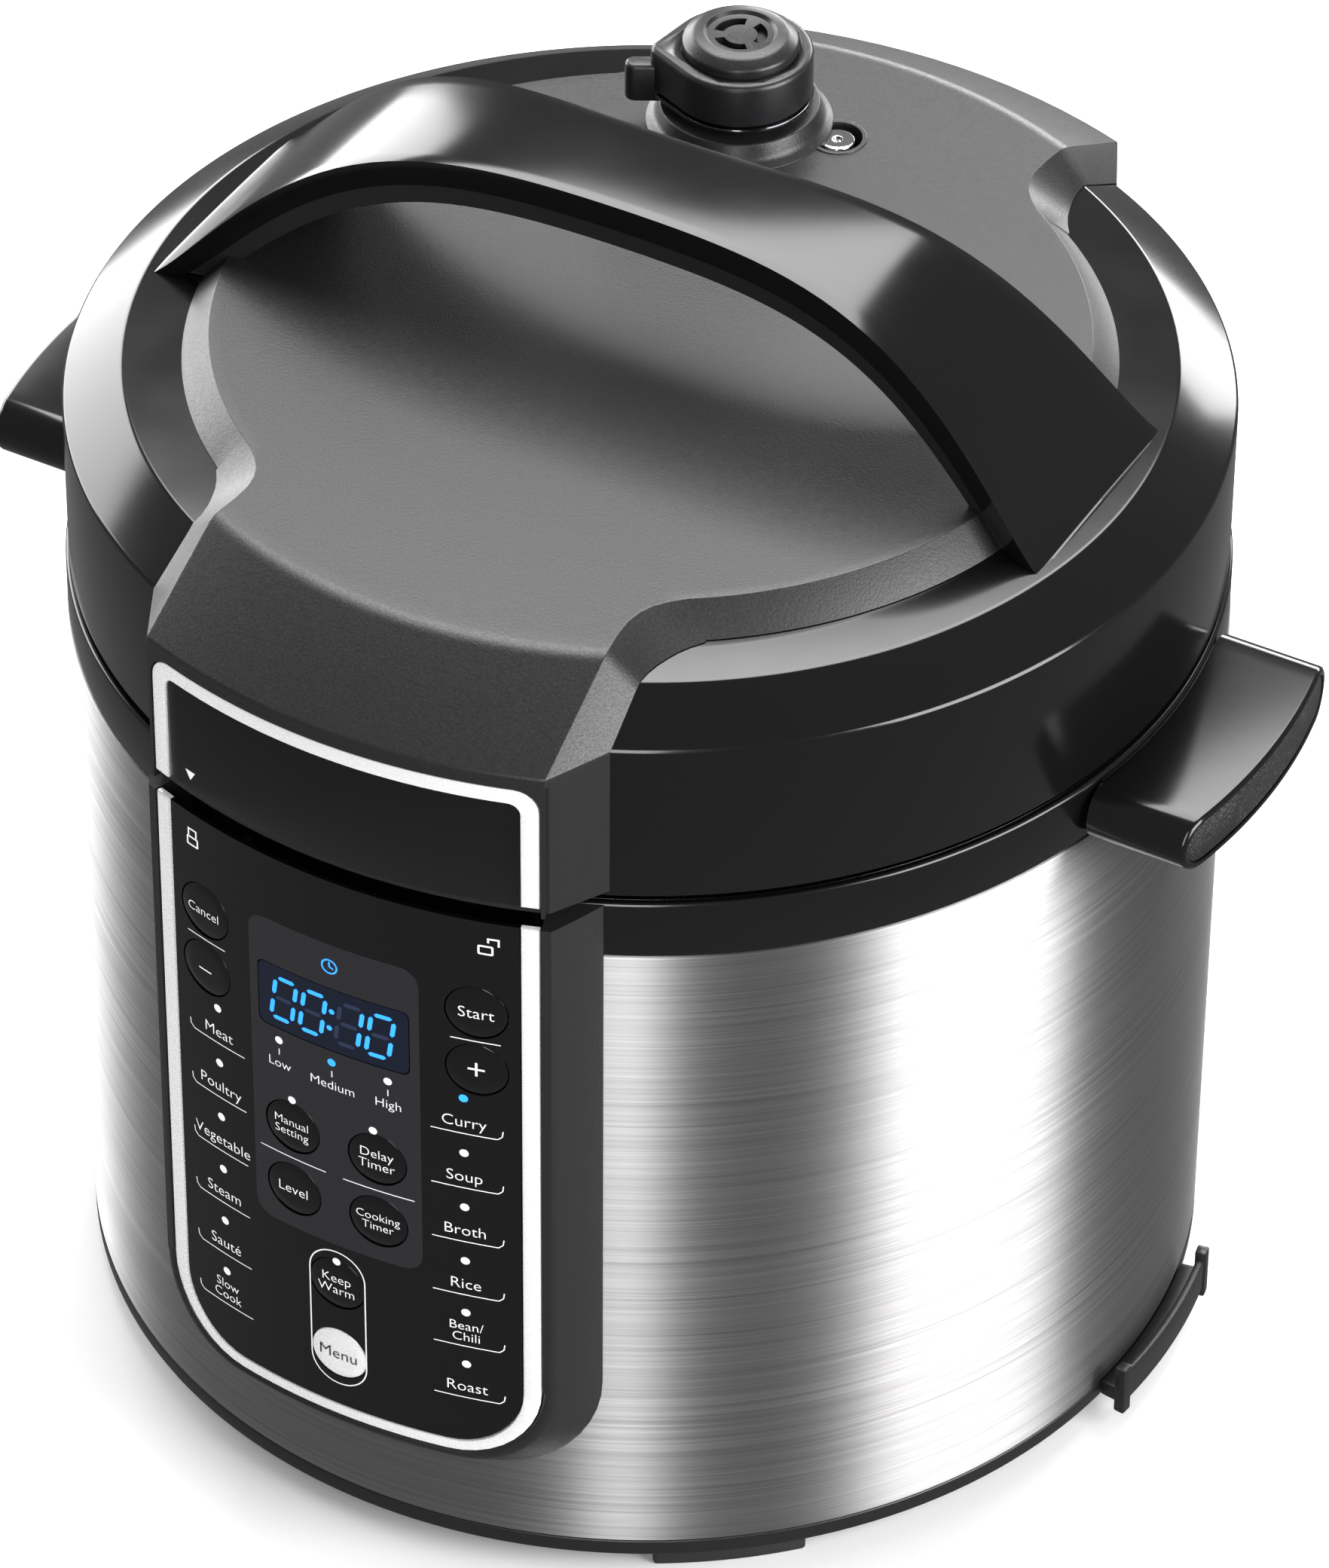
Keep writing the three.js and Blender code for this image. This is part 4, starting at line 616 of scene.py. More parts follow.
# %% [markdown]
# ## The body
# The wall is one sheet of steel rolled into a drum. Its top and bottom edges are covered by the collar and
# the base, so a plain turned shell with tiny edge roundings is all it needs.

# %% Steel wall


def make_wall():
    sheet = 0.8 * MM
    bm = turned([
        (BODY_R - sheet, STEEL_LOW),
        (BODY_R, STEEL_LOW, 0.3 * MM),
        (BODY_R, STEEL_TOP, 0.3 * MM),
        (BODY_R - sheet, STEEL_TOP),
    ], steps=ROUNDEST)
    return place(mesh_of("steel_wall", bm, STEEL), "base", ["outer_shell"])


make_wall()

# %% [markdown]
# The base is one moulding: a ring of the wall's own width with a fine step near its lower edge, and a floor
# with long vent slots. The slots are pushed up out of the floor's underside.

# %% Base ring and floor


def make_base():
    floor_top = BASE_LOW + 5 * MM
    underside = floor_top - 2.5 * MM
    vents_from, vents_to = 34 * MM, 80 * MM
    vent_pitch, vent_width = 15, 3.8
    ring_inside = BODY_R - 29 * MM
    bm = turned([
        (BODY_R, STEEL_LOW - SEAM, 0.5 * MM),
        (BODY_R - 1.1 * MM, STEEL_LOW - SEAM),
        (BODY_R - 1.1 * MM, STEEL_LOW + 12 * MM),
        (BODY_R - 3.1 * MM, STEEL_LOW + 12 * MM),
        (BODY_R - 3.1 * MM, floor_top),
        (0, floor_top),
        (0, underside),
        (vents_from, underside),
        (vents_to, underside),
        (ring_inside, underside, 0.8 * MM),
        (ring_inside, BASE_LOW, 0.8 * MM),
        (BODY_R - 1.2 * MM, BASE_LOW, 0.8 * MM),
        (BODY_R - 1.2 * MM, BASE_LOW + 1.3 * MM, 0.2 * MM),
        (BODY_R, BASE_LOW + 1.3 * MM, 0.4 * MM),
    ])
    bm.faces.ensure_lookup_table()
    slots = []
    for face in bm.faces:
        middle = face.calc_center_median()
        reach = math.hypot(middle.x, middle.y)
        turn = math.degrees(math.atan2(middle.y, middle.x)) % vent_pitch
        if vents_from < reach < vents_to and middle.z < floor_top - 2 * MM and turn < vent_width:
            slots.append(face)
    bmesh.ops.inset_region(bm, faces=slots, thickness=0.8 * MM, depth=0)
    bmesh.ops.translate(bm, verts=list({v for face in slots for v in face.verts}), vec=(0, 0, 1.6 * MM))
    print("vent faces:", len(slots))
    return place(mesh_of("base_ring", bm, SATIN), "base", ["base_tray"])


make_base()

# %% [markdown]
# Four rubber pads carry the cooker. Each is a short arc with soft edges, so it is cut as a bar and wrapped.

# %% Feet


def arc_bar(inner, outer, centre_deg, half_deg, bottom, top, soft):
    bm = bmesh.new()
    half = math.radians(half_deg) * outer
    plate(bm, rounded(rectangle(-half, half, bottom, top)), 0, outer - inner)
    soften(bm, soft, 2)
    sliced(bm, 3 * MM)
    return wrapped(bm, outer, math.radians(centre_deg))


def make_feet():
    outer = BODY_R - 3.7 * MM
    for number, angle in enumerate((38, 142, -142, -38), 1):
        bm = arc_bar(outer - 20 * MM, outer, angle, 8, 0, BASE_LOW, 1.0 * MM)
        place(mesh_of(f"rubber_foot_{number}", bm, RUBBER), "base", [f"foot_{number}"])


make_feet()

# %% [markdown]
# The collar caps the wall. Outside it is a polished band; inside it carries a gutter that catches drops
# from the lid, and an upright lip round the cooking well.

# %% Collar


def make_collar():
    inner = 116.2 * MM
    lip = 3 * MM
    outer_wall = 2.6 * MM
    deck = COLLAR_LOW + SEAM
    underside = deck - 2.2 * MM
    flange = COLLAR_TOP - 7.2 * MM
    bm = turned([
        (COLLAR_R, COLLAR_LOW, 0.5 * MM),
        (COLLAR_R, COLLAR_TOP, 0.9 * MM),
        (COLLAR_R - outer_wall, COLLAR_TOP, 0.9 * MM),
        (COLLAR_R - outer_wall, deck, 1.5 * MM),
        (inner + lip, deck, 1.5 * MM),
        (inner + lip, flange, 0.4 * MM),
        (inner, flange, 0.4 * MM),
        (inner, underside),
        (BODY_R - 3.8 * MM, underside),
        (BODY_R - 3.8 * MM, STEEL_TOP - 12 * MM),
        (BODY_R - 1.4 * MM, STEEL_TOP - 12 * MM),
        (BODY_R - 1.4 * MM, COLLAR_LOW),
    ], steps=ROUNDEST)
    return place(mesh_of("gloss_collar", bm, GLOSS), "base", ["collar"])


make_collar()

# %% [markdown]
# ## Side handles
# Each handle is a thick slab whose two long sides are fully round, and its outer end is gently bowed. The
# outline of its section is drawn once and pushed out to the bowed end, where it shrinks a little for a soft
# lip and steps back for a shallow pocket, and the grained strip sits in that pocket.

# %% Side handles and their grained ends
HANDLE_LOW = low("side_handle_right", "z")
HANDLE_TOP = high("side_handle_right", "z")
HANDLE_HALF = high("side_handle_right", "y")
HANDLE_TIP = high("side_handle_right", "x")
HANDLE_CROWN = 4.6 * MM


def bowed(y, set_back=0.0):
    radius = (HANDLE_HALF ** 2 + HANDLE_CROWN ** 2) / (2 * HANDLE_CROWN)
    return HANDLE_TIP - radius + math.sqrt((radius - set_back) ** 2 - y ** 2)


def stadium(inset):
    """A section with round ends, its long sides divided so that they can follow the bow."""
    radius = (HANDLE_TOP - HANDLE_LOW) / 2 - inset
    points = rounded([
        (-HANDLE_HALF + inset, HANDLE_LOW + inset, radius),
        (HANDLE_HALF - inset, HANDLE_LOW + inset, radius),
        (HANDLE_HALF - inset, HANDLE_TOP - inset, radius),
        (-HANDLE_HALF + inset, HANDLE_TOP - inset, radius),
    ], pieces=14)
    divided = []
    for start, end in zip(points, points[1:] + points[:1]):
        parts = max(1, round((end - start).length / (3 * MM)))
        divided += [start.lerp(end, i / parts) for i in range(parts)]
    return divided


def closed_end(bm, edges):
    """Fills a bowed end with small faces, so that it keeps its bow."""
    made = bmesh.ops.contextual_create(bm, geom=edges)["faces"]
    bmesh.ops.triangulate(bm, faces=made, ngon_method="BEAUTY")


def grown_slab(points, start, columns):
    """Pushes a closed outline in (y, z) along x, through the given places, and returns the edges of its far
    end.
    """
    bm = bmesh.new()
    ring = [bm.verts.new((start, p.x, p.y)) for p in points]
    edges = [bm.edges.new((ring[i - 1], ring[i])) for i in range(len(ring))]
    for column in columns:
        grown = bmesh.ops.extrude_edge_only(bm, edges=edges)["geom"]
        verts = only(grown, bmesh.types.BMVert)
        for v in verts:
            v.co = column(v.co)
        edges = only(grown, bmesh.types.BMEdge)
    return bm, edges


def make_side_handle(side, name):
    root = BODY_R - 3 * MM
    middle = (HANDLE_LOW + HANDLE_TOP) / 2

    def toward(inset, set_back):
        """Scales a section towards its middle and lays it on the bowed end."""
        def column(co):
            y = co.y * (1 - inset / HANDLE_HALF)
            z = middle + (co.z - middle) * (1 - inset / (HANDLE_TOP - middle))
            return Vector((bowed(y, set_back), y, z))
        return column

    columns = [lambda co: Vector((BODY_R + 1.6 * MM, co.y, co.z)), toward(0, 1.2 * MM),
               toward(0.12 * MM, 0.5 * MM), toward(0.5 * MM, 0.1 * MM), toward(0.4 * MM, 0),
               toward(0.7 * MM, 0.25 * MM), toward(0.1 * MM, 1.3 * MM)]
    bm, edges = grown_slab(stadium(0), root, columns)
    closed_end(bm, edges)
    if side < 0:
        rotate(bm, math.pi)
    slab = mesh_of(f"handle_slab_{name}", bm, GLOSS, sharp=50)
    place(slab, "base", [f"side_handle_{name}"])

    inner = 2.0 * MM
    bm, edges = grown_slab(stadium(inner), HANDLE_TIP - HANDLE_CROWN - 3 * MM, [
        lambda co: Vector((bowed(co.y, 0.75 * MM), co.y, co.z)),
        lambda co: Vector((bowed(co.y, 0.35 * MM), co.y * 0.99, middle + (co.z - middle) * 0.94)),
    ])
    closed_end(bm, edges)
    if side < 0:
        rotate(bm, math.pi)
    strip = mesh_of(f"handle_grain_{name}", bm, LEATHER, sharp=50)
    place(strip, "base", [f"grip_insert_{name}"])


make_side_handle(1, "right")
make_side_handle(-1, "left")

# %% [markdown]
# ## The cord bracket
# A short ledge beside the base holds the mains lead. It is four bars that are cut flat and wrapped round
# the body: the ledge, an upright flange, and a taller tab at each end.

# %% Cord bracket


def make_cord_bracket():
    bm = bmesh.new()
    start, end = 82.6, 102.4
    middle, half = (start + end) / 2, (end - start) / 2
    inner, face = BODY_R + SEAM, BODY_R + 5 * MM
    bars = [
        (inner, face + 1 * MM, middle, half, 8 * MM, 12.4 * MM),
        (face, face + 2 * MM, middle, half, 8 * MM, 17.6 * MM),
        (face - 0.5 * MM, face + 2.5 * MM, start + 0.5, 0.65, 5.1 * MM, 19.5 * MM),
        (face - 0.5 * MM, face + 2.5 * MM, end - 0.5, 0.65, 5.1 * MM, 19.5 * MM),
    ]
    for bar in bars:
        join(bm, arc_bar(*bar, 0.45 * MM))
    return place(mesh_of("lead_bracket", bm, SATIN), "base", ["cord_bracket"])


make_cord_bracket()

# %% [markdown]
# ## The cup at the back
# A clear cup catches the drops that run off the collar. It hangs under a small hood on a back plate. The
# cup is a bar wrapped round the body and then hollowed with a smaller bar. A cut is quicker here than
# building the inner walls, and the cup has no fine edges for it to spoil.

# %% Condensation cup and its holder


def make_cup():
    back, front = BODY_R + 2.1 * MM, FRONT_R - SEAM
    bottom, top = low("condensation_cup", "z"), high("condensation_cup", "z")
    cup = mesh_of("drip_cup", arc_bar(back, front, 180, 12, bottom, top, 1.2 * MM), CLEAR)
    cut_out(cup, arc_bar(back + 1.2 * MM, front - 1.2 * MM, 180, 11.5, bottom + 1.2 * MM, top + 9 * MM,
                         0.8 * MM))
    place(cup, "cup", ["condensation_cup"])
    near = BODY_R + SEAM
    plate_bm = arc_bar(near, near + 1.5 * MM, 180, 13, bottom + 12 * MM, top + 0.6 * MM, 0.4 * MM)
    hood_bm = arc_bar(near, front, 180, 13, top + SEAM, top + 2.3 * MM, 0.6 * MM)
    join(plate_bm, hood_bm)
    place(mesh_of("cup_holder", plate_bm, SATIN), "base", ["cup_bracket"])


make_cup()

# %% [markdown]
# ## Well, heater and pot
# Under the lid is a pressed steel well with a flange of six lugs, and the pot drops into it. They are
# turned from thin profiles with rounded corners; each lug is a wrapped bar that runs into the flange.

# %% Well with its lugs
FLANGE_LOW = COLLAR_TOP - 6.9 * MM
FLANGE_HIGH = FLANGE_LOW + 2.6 * MM
FLANGE_R = 119.0 * MM
LUG_R = high("outer_pot", "x")
LUG_HALF_ANGLE = 11.25
LUG_INSET = 0.05 * MM


def add_lugs(bm, inner, outer, bottom, top):
    for number in range(6):
        join(bm, arc_bar(inner, outer, number * 60, LUG_HALF_ANGLE, bottom, top, 0.5 * MM))


def make_well():
    floor = low("outer_pot", "z")
    inside = 113.7 * MM
    sheet = 1.2 * MM
    opening = 20 * MM
    bm = turned([
        (opening, floor, 0.3 * MM),
        (inside + sheet, floor, 3 * MM),
        (inside + sheet, FLANGE_LOW, 0.8 * MM),
        (FLANGE_R, FLANGE_LOW, 0.5 * MM),
        (FLANGE_R, FLANGE_HIGH, 0.5 * MM),
        (inside, FLANGE_HIGH, sheet),
        (inside, floor + sheet, 1.8 * MM),
        (opening, floor + sheet, 0.3 * MM),
    ])
    add_lugs(bm, FLANGE_R - 2 * MM, LUG_R - LUG_INSET, FLANGE_LOW + LUG_INSET, FLANGE_HIGH - LUG_INSET)
    place(mesh_of("steel_well", bm, STAMPED), "base", ["outer_pot"])


make_well()

# %% Heater and sensor


def make_heater():
    bottom, top = low("heating_plate", "z"), high("heating_plate", "z")
    opening, edge = 17 * MM, 88 * MM
    boss, shelf = edge - 22 * MM, bottom + 6 * MM
    bm = turned([
        (opening, bottom, 0.8 * MM),
        (boss, bottom, 1 * MM),
        (boss, shelf, 2 * MM),
        (edge, shelf, 1.5 * MM),
        (edge, top, 2.5 * MM),
        (opening, top, 0.8 * MM),
    ])
    place(mesh_of("cast_heater", bm, CAST), "base", ["heating_plate"])
    top = high("sensor_cap", "z")
    bm = turned([
        (0, top),
        (11.5 * MM, top, 0.9 * MM),
        (11.5 * MM, top - 15 * MM, 0.2 * MM),
        (10.3 * MM, top - 15 * MM, 0.2 * MM),
        (10.3 * MM, top - 1.6 * MM),
        (0, top - 1.6 * MM),
    ], steps=SMALL)
    place(mesh_of("sensor_button", bm, CAST), "sensor", ["sensor_cap"])


make_heater()

# %% Pot and seal


def make_pot():
    outer = 111 * MM
    wall = 1.2 * MM
    floor = low("inner_pot", "z")
    rim = high("inner_pot", "z") - wall
    bm = turned([
        (0, floor),
        (outer, floor, 12 * MM),
        (outer, rim, 0.8 * MM),
        (high("inner_pot", "x"), rim, 0.5 * MM),
        (high("inner_pot", "x"), rim + wall, 0.5 * MM),
        (outer - wall, rim + wall, 1.8 * MM),
        (outer - wall, floor + wall, 10.8 * MM),
        (0, floor + wall),
    ], pieces=8)
    place(mesh_of("cooking_pot", bm, NON_STICK), "pot", ["inner_pot"])
    bottom, top = low("seal_ring", "z"), high("seal_ring", "z")
    bm = turned([
        (114.1 * MM, bottom, 1.2 * MM),
        (121.1 * MM, bottom, 1.2 * MM),
        (123.5 * MM, top, 1.2 * MM),
        (112.5 * MM, top, 1.2 * MM),
    ])
    place(mesh_of("lid_seal", bm, SILICONE), "seal", ["seal_ring"])


make_pot()

# %% [markdown]
# ## The lid
# The skirt is a deep glossy ring with a sloped shoulder and a flat top band. Under it sits the pressed
# steel lid plate with lugs that turn under the well's flange.

# %% Lid skirt and steel lid
RING_BORE = COVER_EDGE_R - 6 * MM


def make_lid_skirt():
    rim = high("inner_lid", "x") + SEAM
    inside = SKIRT_R - 3 * MM
    bm = turned([
        (SKIRT_R, SKIRT_LOW, 0.7 * MM),
        (SKIRT_R, CREASE, 1.6 * MM),
        (RING_R, RING_TOP, 2.2 * MM),
        (RING_BORE, RING_TOP),
        (RING_BORE, RING_TOP - 2.8 * MM),
        (RING_R - 1 * MM, RING_TOP - 2.8 * MM, 1 * MM),
        (inside, CREASE - 2 * MM, 1 * MM),
        (inside, SKIRT_LOW + 2.6 * MM, 0.5 * MM),
        (rim, SKIRT_LOW + 2.6 * MM, 0.3 * MM),
        (rim, SKIRT_LOW, 0.3 * MM),
    ], steps=ROUNDEST, pieces=5)
    place(mesh_of("gloss_skirt", bm, GLOSS), "lid", ["lid_skirt"])


def make_steel_lid():
    top = high("inner_lid", "z")
    step = high("seal_ring", "z") + SEAM
    bottom = low("inner_lid", "z")
    outside = high("inner_lid", "x")
    inside = outside - 1.5 * MM
    neck = 103.4 * MM
    bm = turned([
        (0, top),
        (neck + 1.5 * MM, top, 5 * MM),
        (neck + 3.4 * MM, step + 1.5 * MM, 1 * MM),
        (outside, step + 1.5 * MM, 2 * MM),
        (outside, bottom, 0.4 * MM),
        (inside, bottom, 0.4 * MM),
        (inside, step, 0.8 * MM),
        (neck + 1.9 * MM, step, 1.5 * MM),
        (neck - 0.7 * MM, top - 1.5 * MM, 3.5 * MM),
        (0, top - 1.5 * MM),
    ])
    add_lugs(bm, LUG_R + 0.6 * MM, inside + 0.6 * MM, bottom + LUG_INSET, bottom + 2 * MM)
    place(mesh_of("steel_lid", bm, STAMPED), "lid", ["inner_lid"])


make_lid_skirt()
make_steel_lid()

# %% [markdown]
# ## The cover
# A shallow dish lies on the lid, and a tongue runs from it over the shoulder at the front and at the back.
# The top skin is made first: a disc, and rows of points that run outwards along each tongue, each row as
# wide as the tongue is there. Then the open edge all round is pushed out and down to where the cover meets
# the lid, which gives the sloping sides in one step.

# %% Sizes along a tongue
TONGUE_ROWS = [
    # radius, half width, then the foot of its side: x and radius
    (104.0, 57.8, 64.6, 111.2),
    (104.9, 54.6, 62.6, 112.6),
    (106.4, 52.2, 61.2, 114.2),
    (108.6, 50.9, 60.2, 116.2),
    (112.0, 50.2, 59.3, 118.6),
    (117.0, 50.5, 58.8, 121.6),
    (124.0, 51.6, 58.9, 126.5),
    (151.0, 52.2, 60.0, 139.4),
]
COLUMNS = [-1, -0.985, -0.92, -0.8, -0.65, -0.5, -0.35, -0.2, -0.07, 0.07, 0.2, 0.35, 0.5, 0.65, 0.8,
           0.92, 0.985, 1]


def along_rows(radius, column):
    for inner, outer in zip(TONGUE_ROWS, TONGUE_ROWS[1:]):
        if radius <= outer[0] * MM + 1e-9:
            share = (radius / MM - inner[0]) / (outer[0] - inner[0])
            return (inner[column] + share * (outer[column] - inner[column])) * MM
    return TONGUE_ROWS[-1][column] * MM


def lid_height(radius):
    """Height of the lid under the cover, with a small clearance."""
    if radius <= RING_R:
        return RING_TOP + 0.25 * MM
    return RING_TOP + 0.25 * MM - CHAMFER_RISE * min(1, (radius - RING_R) / (SKIRT_R - RING_R))


# %% Top skin of the cover
EDGE_ROUNDING = 1.3 * MM
RECESS_TOP = CREASE - 2.2 * MM
RECESS_DEPTH = 2.1 * MM
FLOAT = ((low("float_pin", "x") + high("float_pin", "x")) / 2,
         (low("float_pin", "y") + high("float_pin", "y")) / 2)


def tongue_profile():
    flat_end = FRONT_R - 27 * MM
    inner = [Vector((row[0] * MM, COVER_TOP)) for row in TONGUE_ROWS[:-2]]
    outer = rounded([
        (flat_end - 6 * MM, COVER_TOP),
        (flat_end, COVER_TOP, 9 * MM),
        (FRONT_R, CREASE, 1.2 * MM),
        (FRONT_R, RECESS_TOP),
        (FRONT_R - RECESS_DEPTH, RECESS_TOP),
        (FRONT_R - RECESS_DEPTH, TONGUE_LOW),
    ], pieces=6, closed=False)
    return inner + outer


def make_cover_skin():
    bm = bmesh.new()
    disc_half = math.asin(TONGUE_ROWS[0][1] / TONGUE_ROWS[0][0])
    side_steps = 56
    sides = {}
    rims = []
    for face_sign in (-1, 1):
        rows = []
        for radius, height in tongue_profile():
            half = along_rows(radius, 1)
            row = []
            for column in COLUMNS:
                x = column * half
                row.append(bm.verts.new((x, face_sign * math.sqrt(radius ** 2 - x ** 2), height)))
            rows.append(row)
        for a, b in zip(rows, rows[1:]):
            for i in range(len(COLUMNS) - 1):
                bm.faces.new((a[i], a[i + 1], b[i + 1], b[i]))
        sides[face_sign] = rows
        rims.append(rows[0])
    rim = COVER_EDGE_R
    arcs = {}
    for x_sign in (-1, 1):
        arc = []
        for step in range(1, side_steps):
            angle = -math.pi / 2 + disc_half + (math.pi - 2 * disc_half) * step / side_steps
            arc.append(bm.verts.new((x_sign * rim * math.cos(angle), rim * math.sin(angle), COVER_TOP)))
        arcs[x_sign] = arc
    loop = rims[0] + arcs[1] + rims[1][::-1] + arcs[-1][::-1]
    edges = []
    for pair in zip(loop, loop[1:] + loop[:1]):
        edges.append(bm.edges.get(pair) or bm.edges.new(pair))
    grown = bmesh.ops.extrude_edge_only(bm, edges=edges)["geom"]
    inner = only(grown, bmesh.types.BMVert)
    bmesh.ops.scale(bm, verts=inner, vec=(0.97, 0.97, 1))
    rim_edges = only(grown, bmesh.types.BMEdge)
    around = [bm.verts.new((p.x, p.y, COVER_TOP)) for p in circle(*FLOAT, 6.8 * MM, 48)]
    hole = [bm.edges.new((around[i - 1], around[i])) for i in range(len(around))]
    bmesh.ops.triangle_fill(bm, edges=rim_edges + hole, use_beauty=True, use_dissolve=False,
                            normal=(0, 0, 1))
    wall = bmesh.ops.extrude_edge_only(bm, edges=hole)["geom"]
    bmesh.ops.translate(bm, verts=only(wall, bmesh.types.BMVert),
                        vec=(0, 0, -8 * MM))
    chains = []
    for x_sign in (1, -1):
        column = -1 if x_sign > 0 else 0
        front = [row[column] for row in sides[-1]][::-1]
        rear = [row[column] for row in sides[1]]
        chains.append(front + arcs[x_sign] + rear)
    print("cover rows:", len(sides[1]), "points round the disc:", len(loop))
    return bm, chains


# %% Sides of the cover


def foot_of(v):
    """Where the side that starts at this point of the top edge meets the lid."""
    reach = math.hypot(v.co.x, v.co.y)
    if abs(v.co.x) > TONGUE_ROWS[0][1] * MM + 1e-6:
        scale = COVER_FOOT_R / reach
        return Vector((v.co.x * scale, v.co.y * scale, RING_TOP + 0.25 * MM))
    if v.co.z < CREASE - 0.2 * MM:
        reach = FRONT_R
    x = along_rows(reach, 2)
    foot_r = along_rows(reach, 3)
    y = math.sqrt(foot_r ** 2 - x ** 2)
    height = v.co.z if v.co.z < CREASE - 0.2 * MM else lid_height(foot_r)
    return Vector((math.copysign(x, v.co.x), math.copysign(y, v.co.y), height))


def make_cover():
    bm, chains = make_cover_skin()
    top_edges = []
    for chain in chains:
        edges = [bm.edges.get(pair) for pair in zip(chain, chain[1:])]
        grown = bmesh.ops.extrude_edge_only(bm, edges=edges)["geom"]
        for v in only(grown, bmesh.types.BMVert):
            v.co = foot_of(v)
        top_edges += edges
    bmesh.ops.recalc_face_normals(bm, faces=bm.faces)
    if max(bm.faces, key=lambda f: f.calc_area()).normal.z < 0:
        bmesh.ops.reverse_faces(bm, faces=bm.faces)
    kept = [e for e in top_edges if e.is_valid]
    bmesh.ops.bevel(bm, geom=kept, offset=EDGE_ROUNDING, offset_type="OFFSET", affect="EDGES",
                    segments=3, profile=0.5, material=-1, clamp_overlap=True)
    cover = mesh_of("lid_cover_skin", bm, TEXTURED, sharp=40)
    wall = cover.modifiers.new("wall", "SOLIDIFY")
    wall.thickness = 2.4 * MM
    wall.offset = -1
    modified(cover)
    return cover


cover = make_cover()

# %% [markdown]
# The fronts of both tongues are set back, so each gets a wrapped face of its own. At the front that face is
# a rim round an arched recess for the silver trim and the glossy plate; at the rear it is plain. A round
# pedestal carries the knob, and a thin collar lines the hole for the float.

# %% Recess, rear face and pedestal
VALVE = ((low("steam_pipe", "x") + high("steam_pipe", "x")) / 2,
         (low("steam_pipe", "y") + high("steam_pipe", "y")) / 2)
TRIM_HALF = high("panel_trim", "x")
FACE_HALF = high("panel_face", "x") + SEAM


def across(x):
    """A place across the front, as a distance along its curve."""
    return FRONT_R * math.asin(x / FRONT_R)


def front_plate(points, front, back, holes=(), soft=0.0):
    """A plate on the curved front. Depths are millimetres behind the front surface."""
    bm = bmesh.new()
    plate(bm, points, front * MM, back * MM, holes)
    if soft:
        soften(bm, soft * MM, 2, chosen=lambda e: all(abs(v.co.y - front * MM) < 1e-6 for v in e.verts))
    sliced(bm, 4 * MM)
    return wrapped(bm, FRONT_R)


def lid_arch(half, bottom, top, corner):
    u = across(half)
    return rounded([(-u, bottom), (u, bottom), (u, top, corner), (-u, top, corner)])


def post(x, y, radius, bottom, top, steps=48):
    return turned([(0, bottom), (radius, bottom), (radius, top), (0, top)], steps, (x, y))


TRIM_LOW = low("lid_front_trim", "z")
TRIM_TOP = high("lid_front_trim", "z")


def make_tongue_frame():
    """The rim of the recess, on the front tongue only; the rear tongue has a plain face."""
    edge = across(TONGUE_ROWS[-1][1] * MM)
    opening = across(TRIM_HALF + SEAM)
    rim = rounded([
        (-edge, TONGUE_LOW), (-opening, TONGUE_LOW), (-opening, TRIM_TOP + SEAM, 6.3 * MM),
        (opening, TRIM_TOP + SEAM, 6.3 * MM), (opening, TONGUE_LOW), (edge, TONGUE_LOW),
        (edge, RECESS_TOP), (-edge, RECESS_TOP),
    ])
    frame_bm = front_plate(rim, 0, RECESS_DEPTH / MM)
    place(mesh_of("tongue_front_rim", frame_bm, TEXTURED), "lid")
    face = rounded([(-edge, TONGUE_LOW), (edge, TONGUE_LOW), (edge, RECESS_TOP), (-edge, RECESS_TOP)])
    rear_bm = front_plate(face, 0, RECESS_DEPTH / MM)
    rotate(rear_bm, math.pi)
    place(mesh_of("tongue_rear_face", rear_bm, TEXTURED), "lid")


make_tongue_frame()
place(cover, "lid", ["lid_cover"])
print("cover faces:", len(cover.data.polygons))


def make_pedestal():
    rise = 5.6 * MM
    bm = turned([
        (11 * MM, COVER_TOP - 0.6 * MM),
        (22.8 * MM, COVER_TOP - 0.6 * MM, 0.1 * MM),
        (22.8 * MM, COVER_TOP + 0.2 * MM, 0.2 * MM),
        (20.6 * MM, COVER_TOP + 1.6 * MM, 3 * MM),
        (19.5 * MM, COVER_TOP + rise, 0.6 * MM),
        (11 * MM, COVER_TOP + rise, 0.5 * MM),
    ], steps=96, centre=VALVE)
    place(mesh_of("valve_pedestal", bm, TEXTURED), "lid")
    bm = turned([
        (6.1 * MM, COVER_TOP - 6 * MM),
        (6.8 * MM, COVER_TOP - 6 * MM),
        (6.8 * MM, COVER_TOP - 0.02 * MM),
        (7.3 * MM, COVER_TOP - 0.02 * MM),
        (7.3 * MM, COVER_TOP + SEAM, 0.25 * MM),
        (6.1 * MM, COVER_TOP + SEAM, 0.25 * MM),
    ], steps=SMALL, centre=FLOAT)
    place(mesh_of("float_collar", bm, SATIN), "lid")


make_pedestal()

# %% [markdown]
# The silver arch is a thin plate with the middle cut away, so its outline goes up one side, over and down
# the other, and back along the inside. The glossy plate fills the arch.

# %% Silver arch and glossy plate of the lid


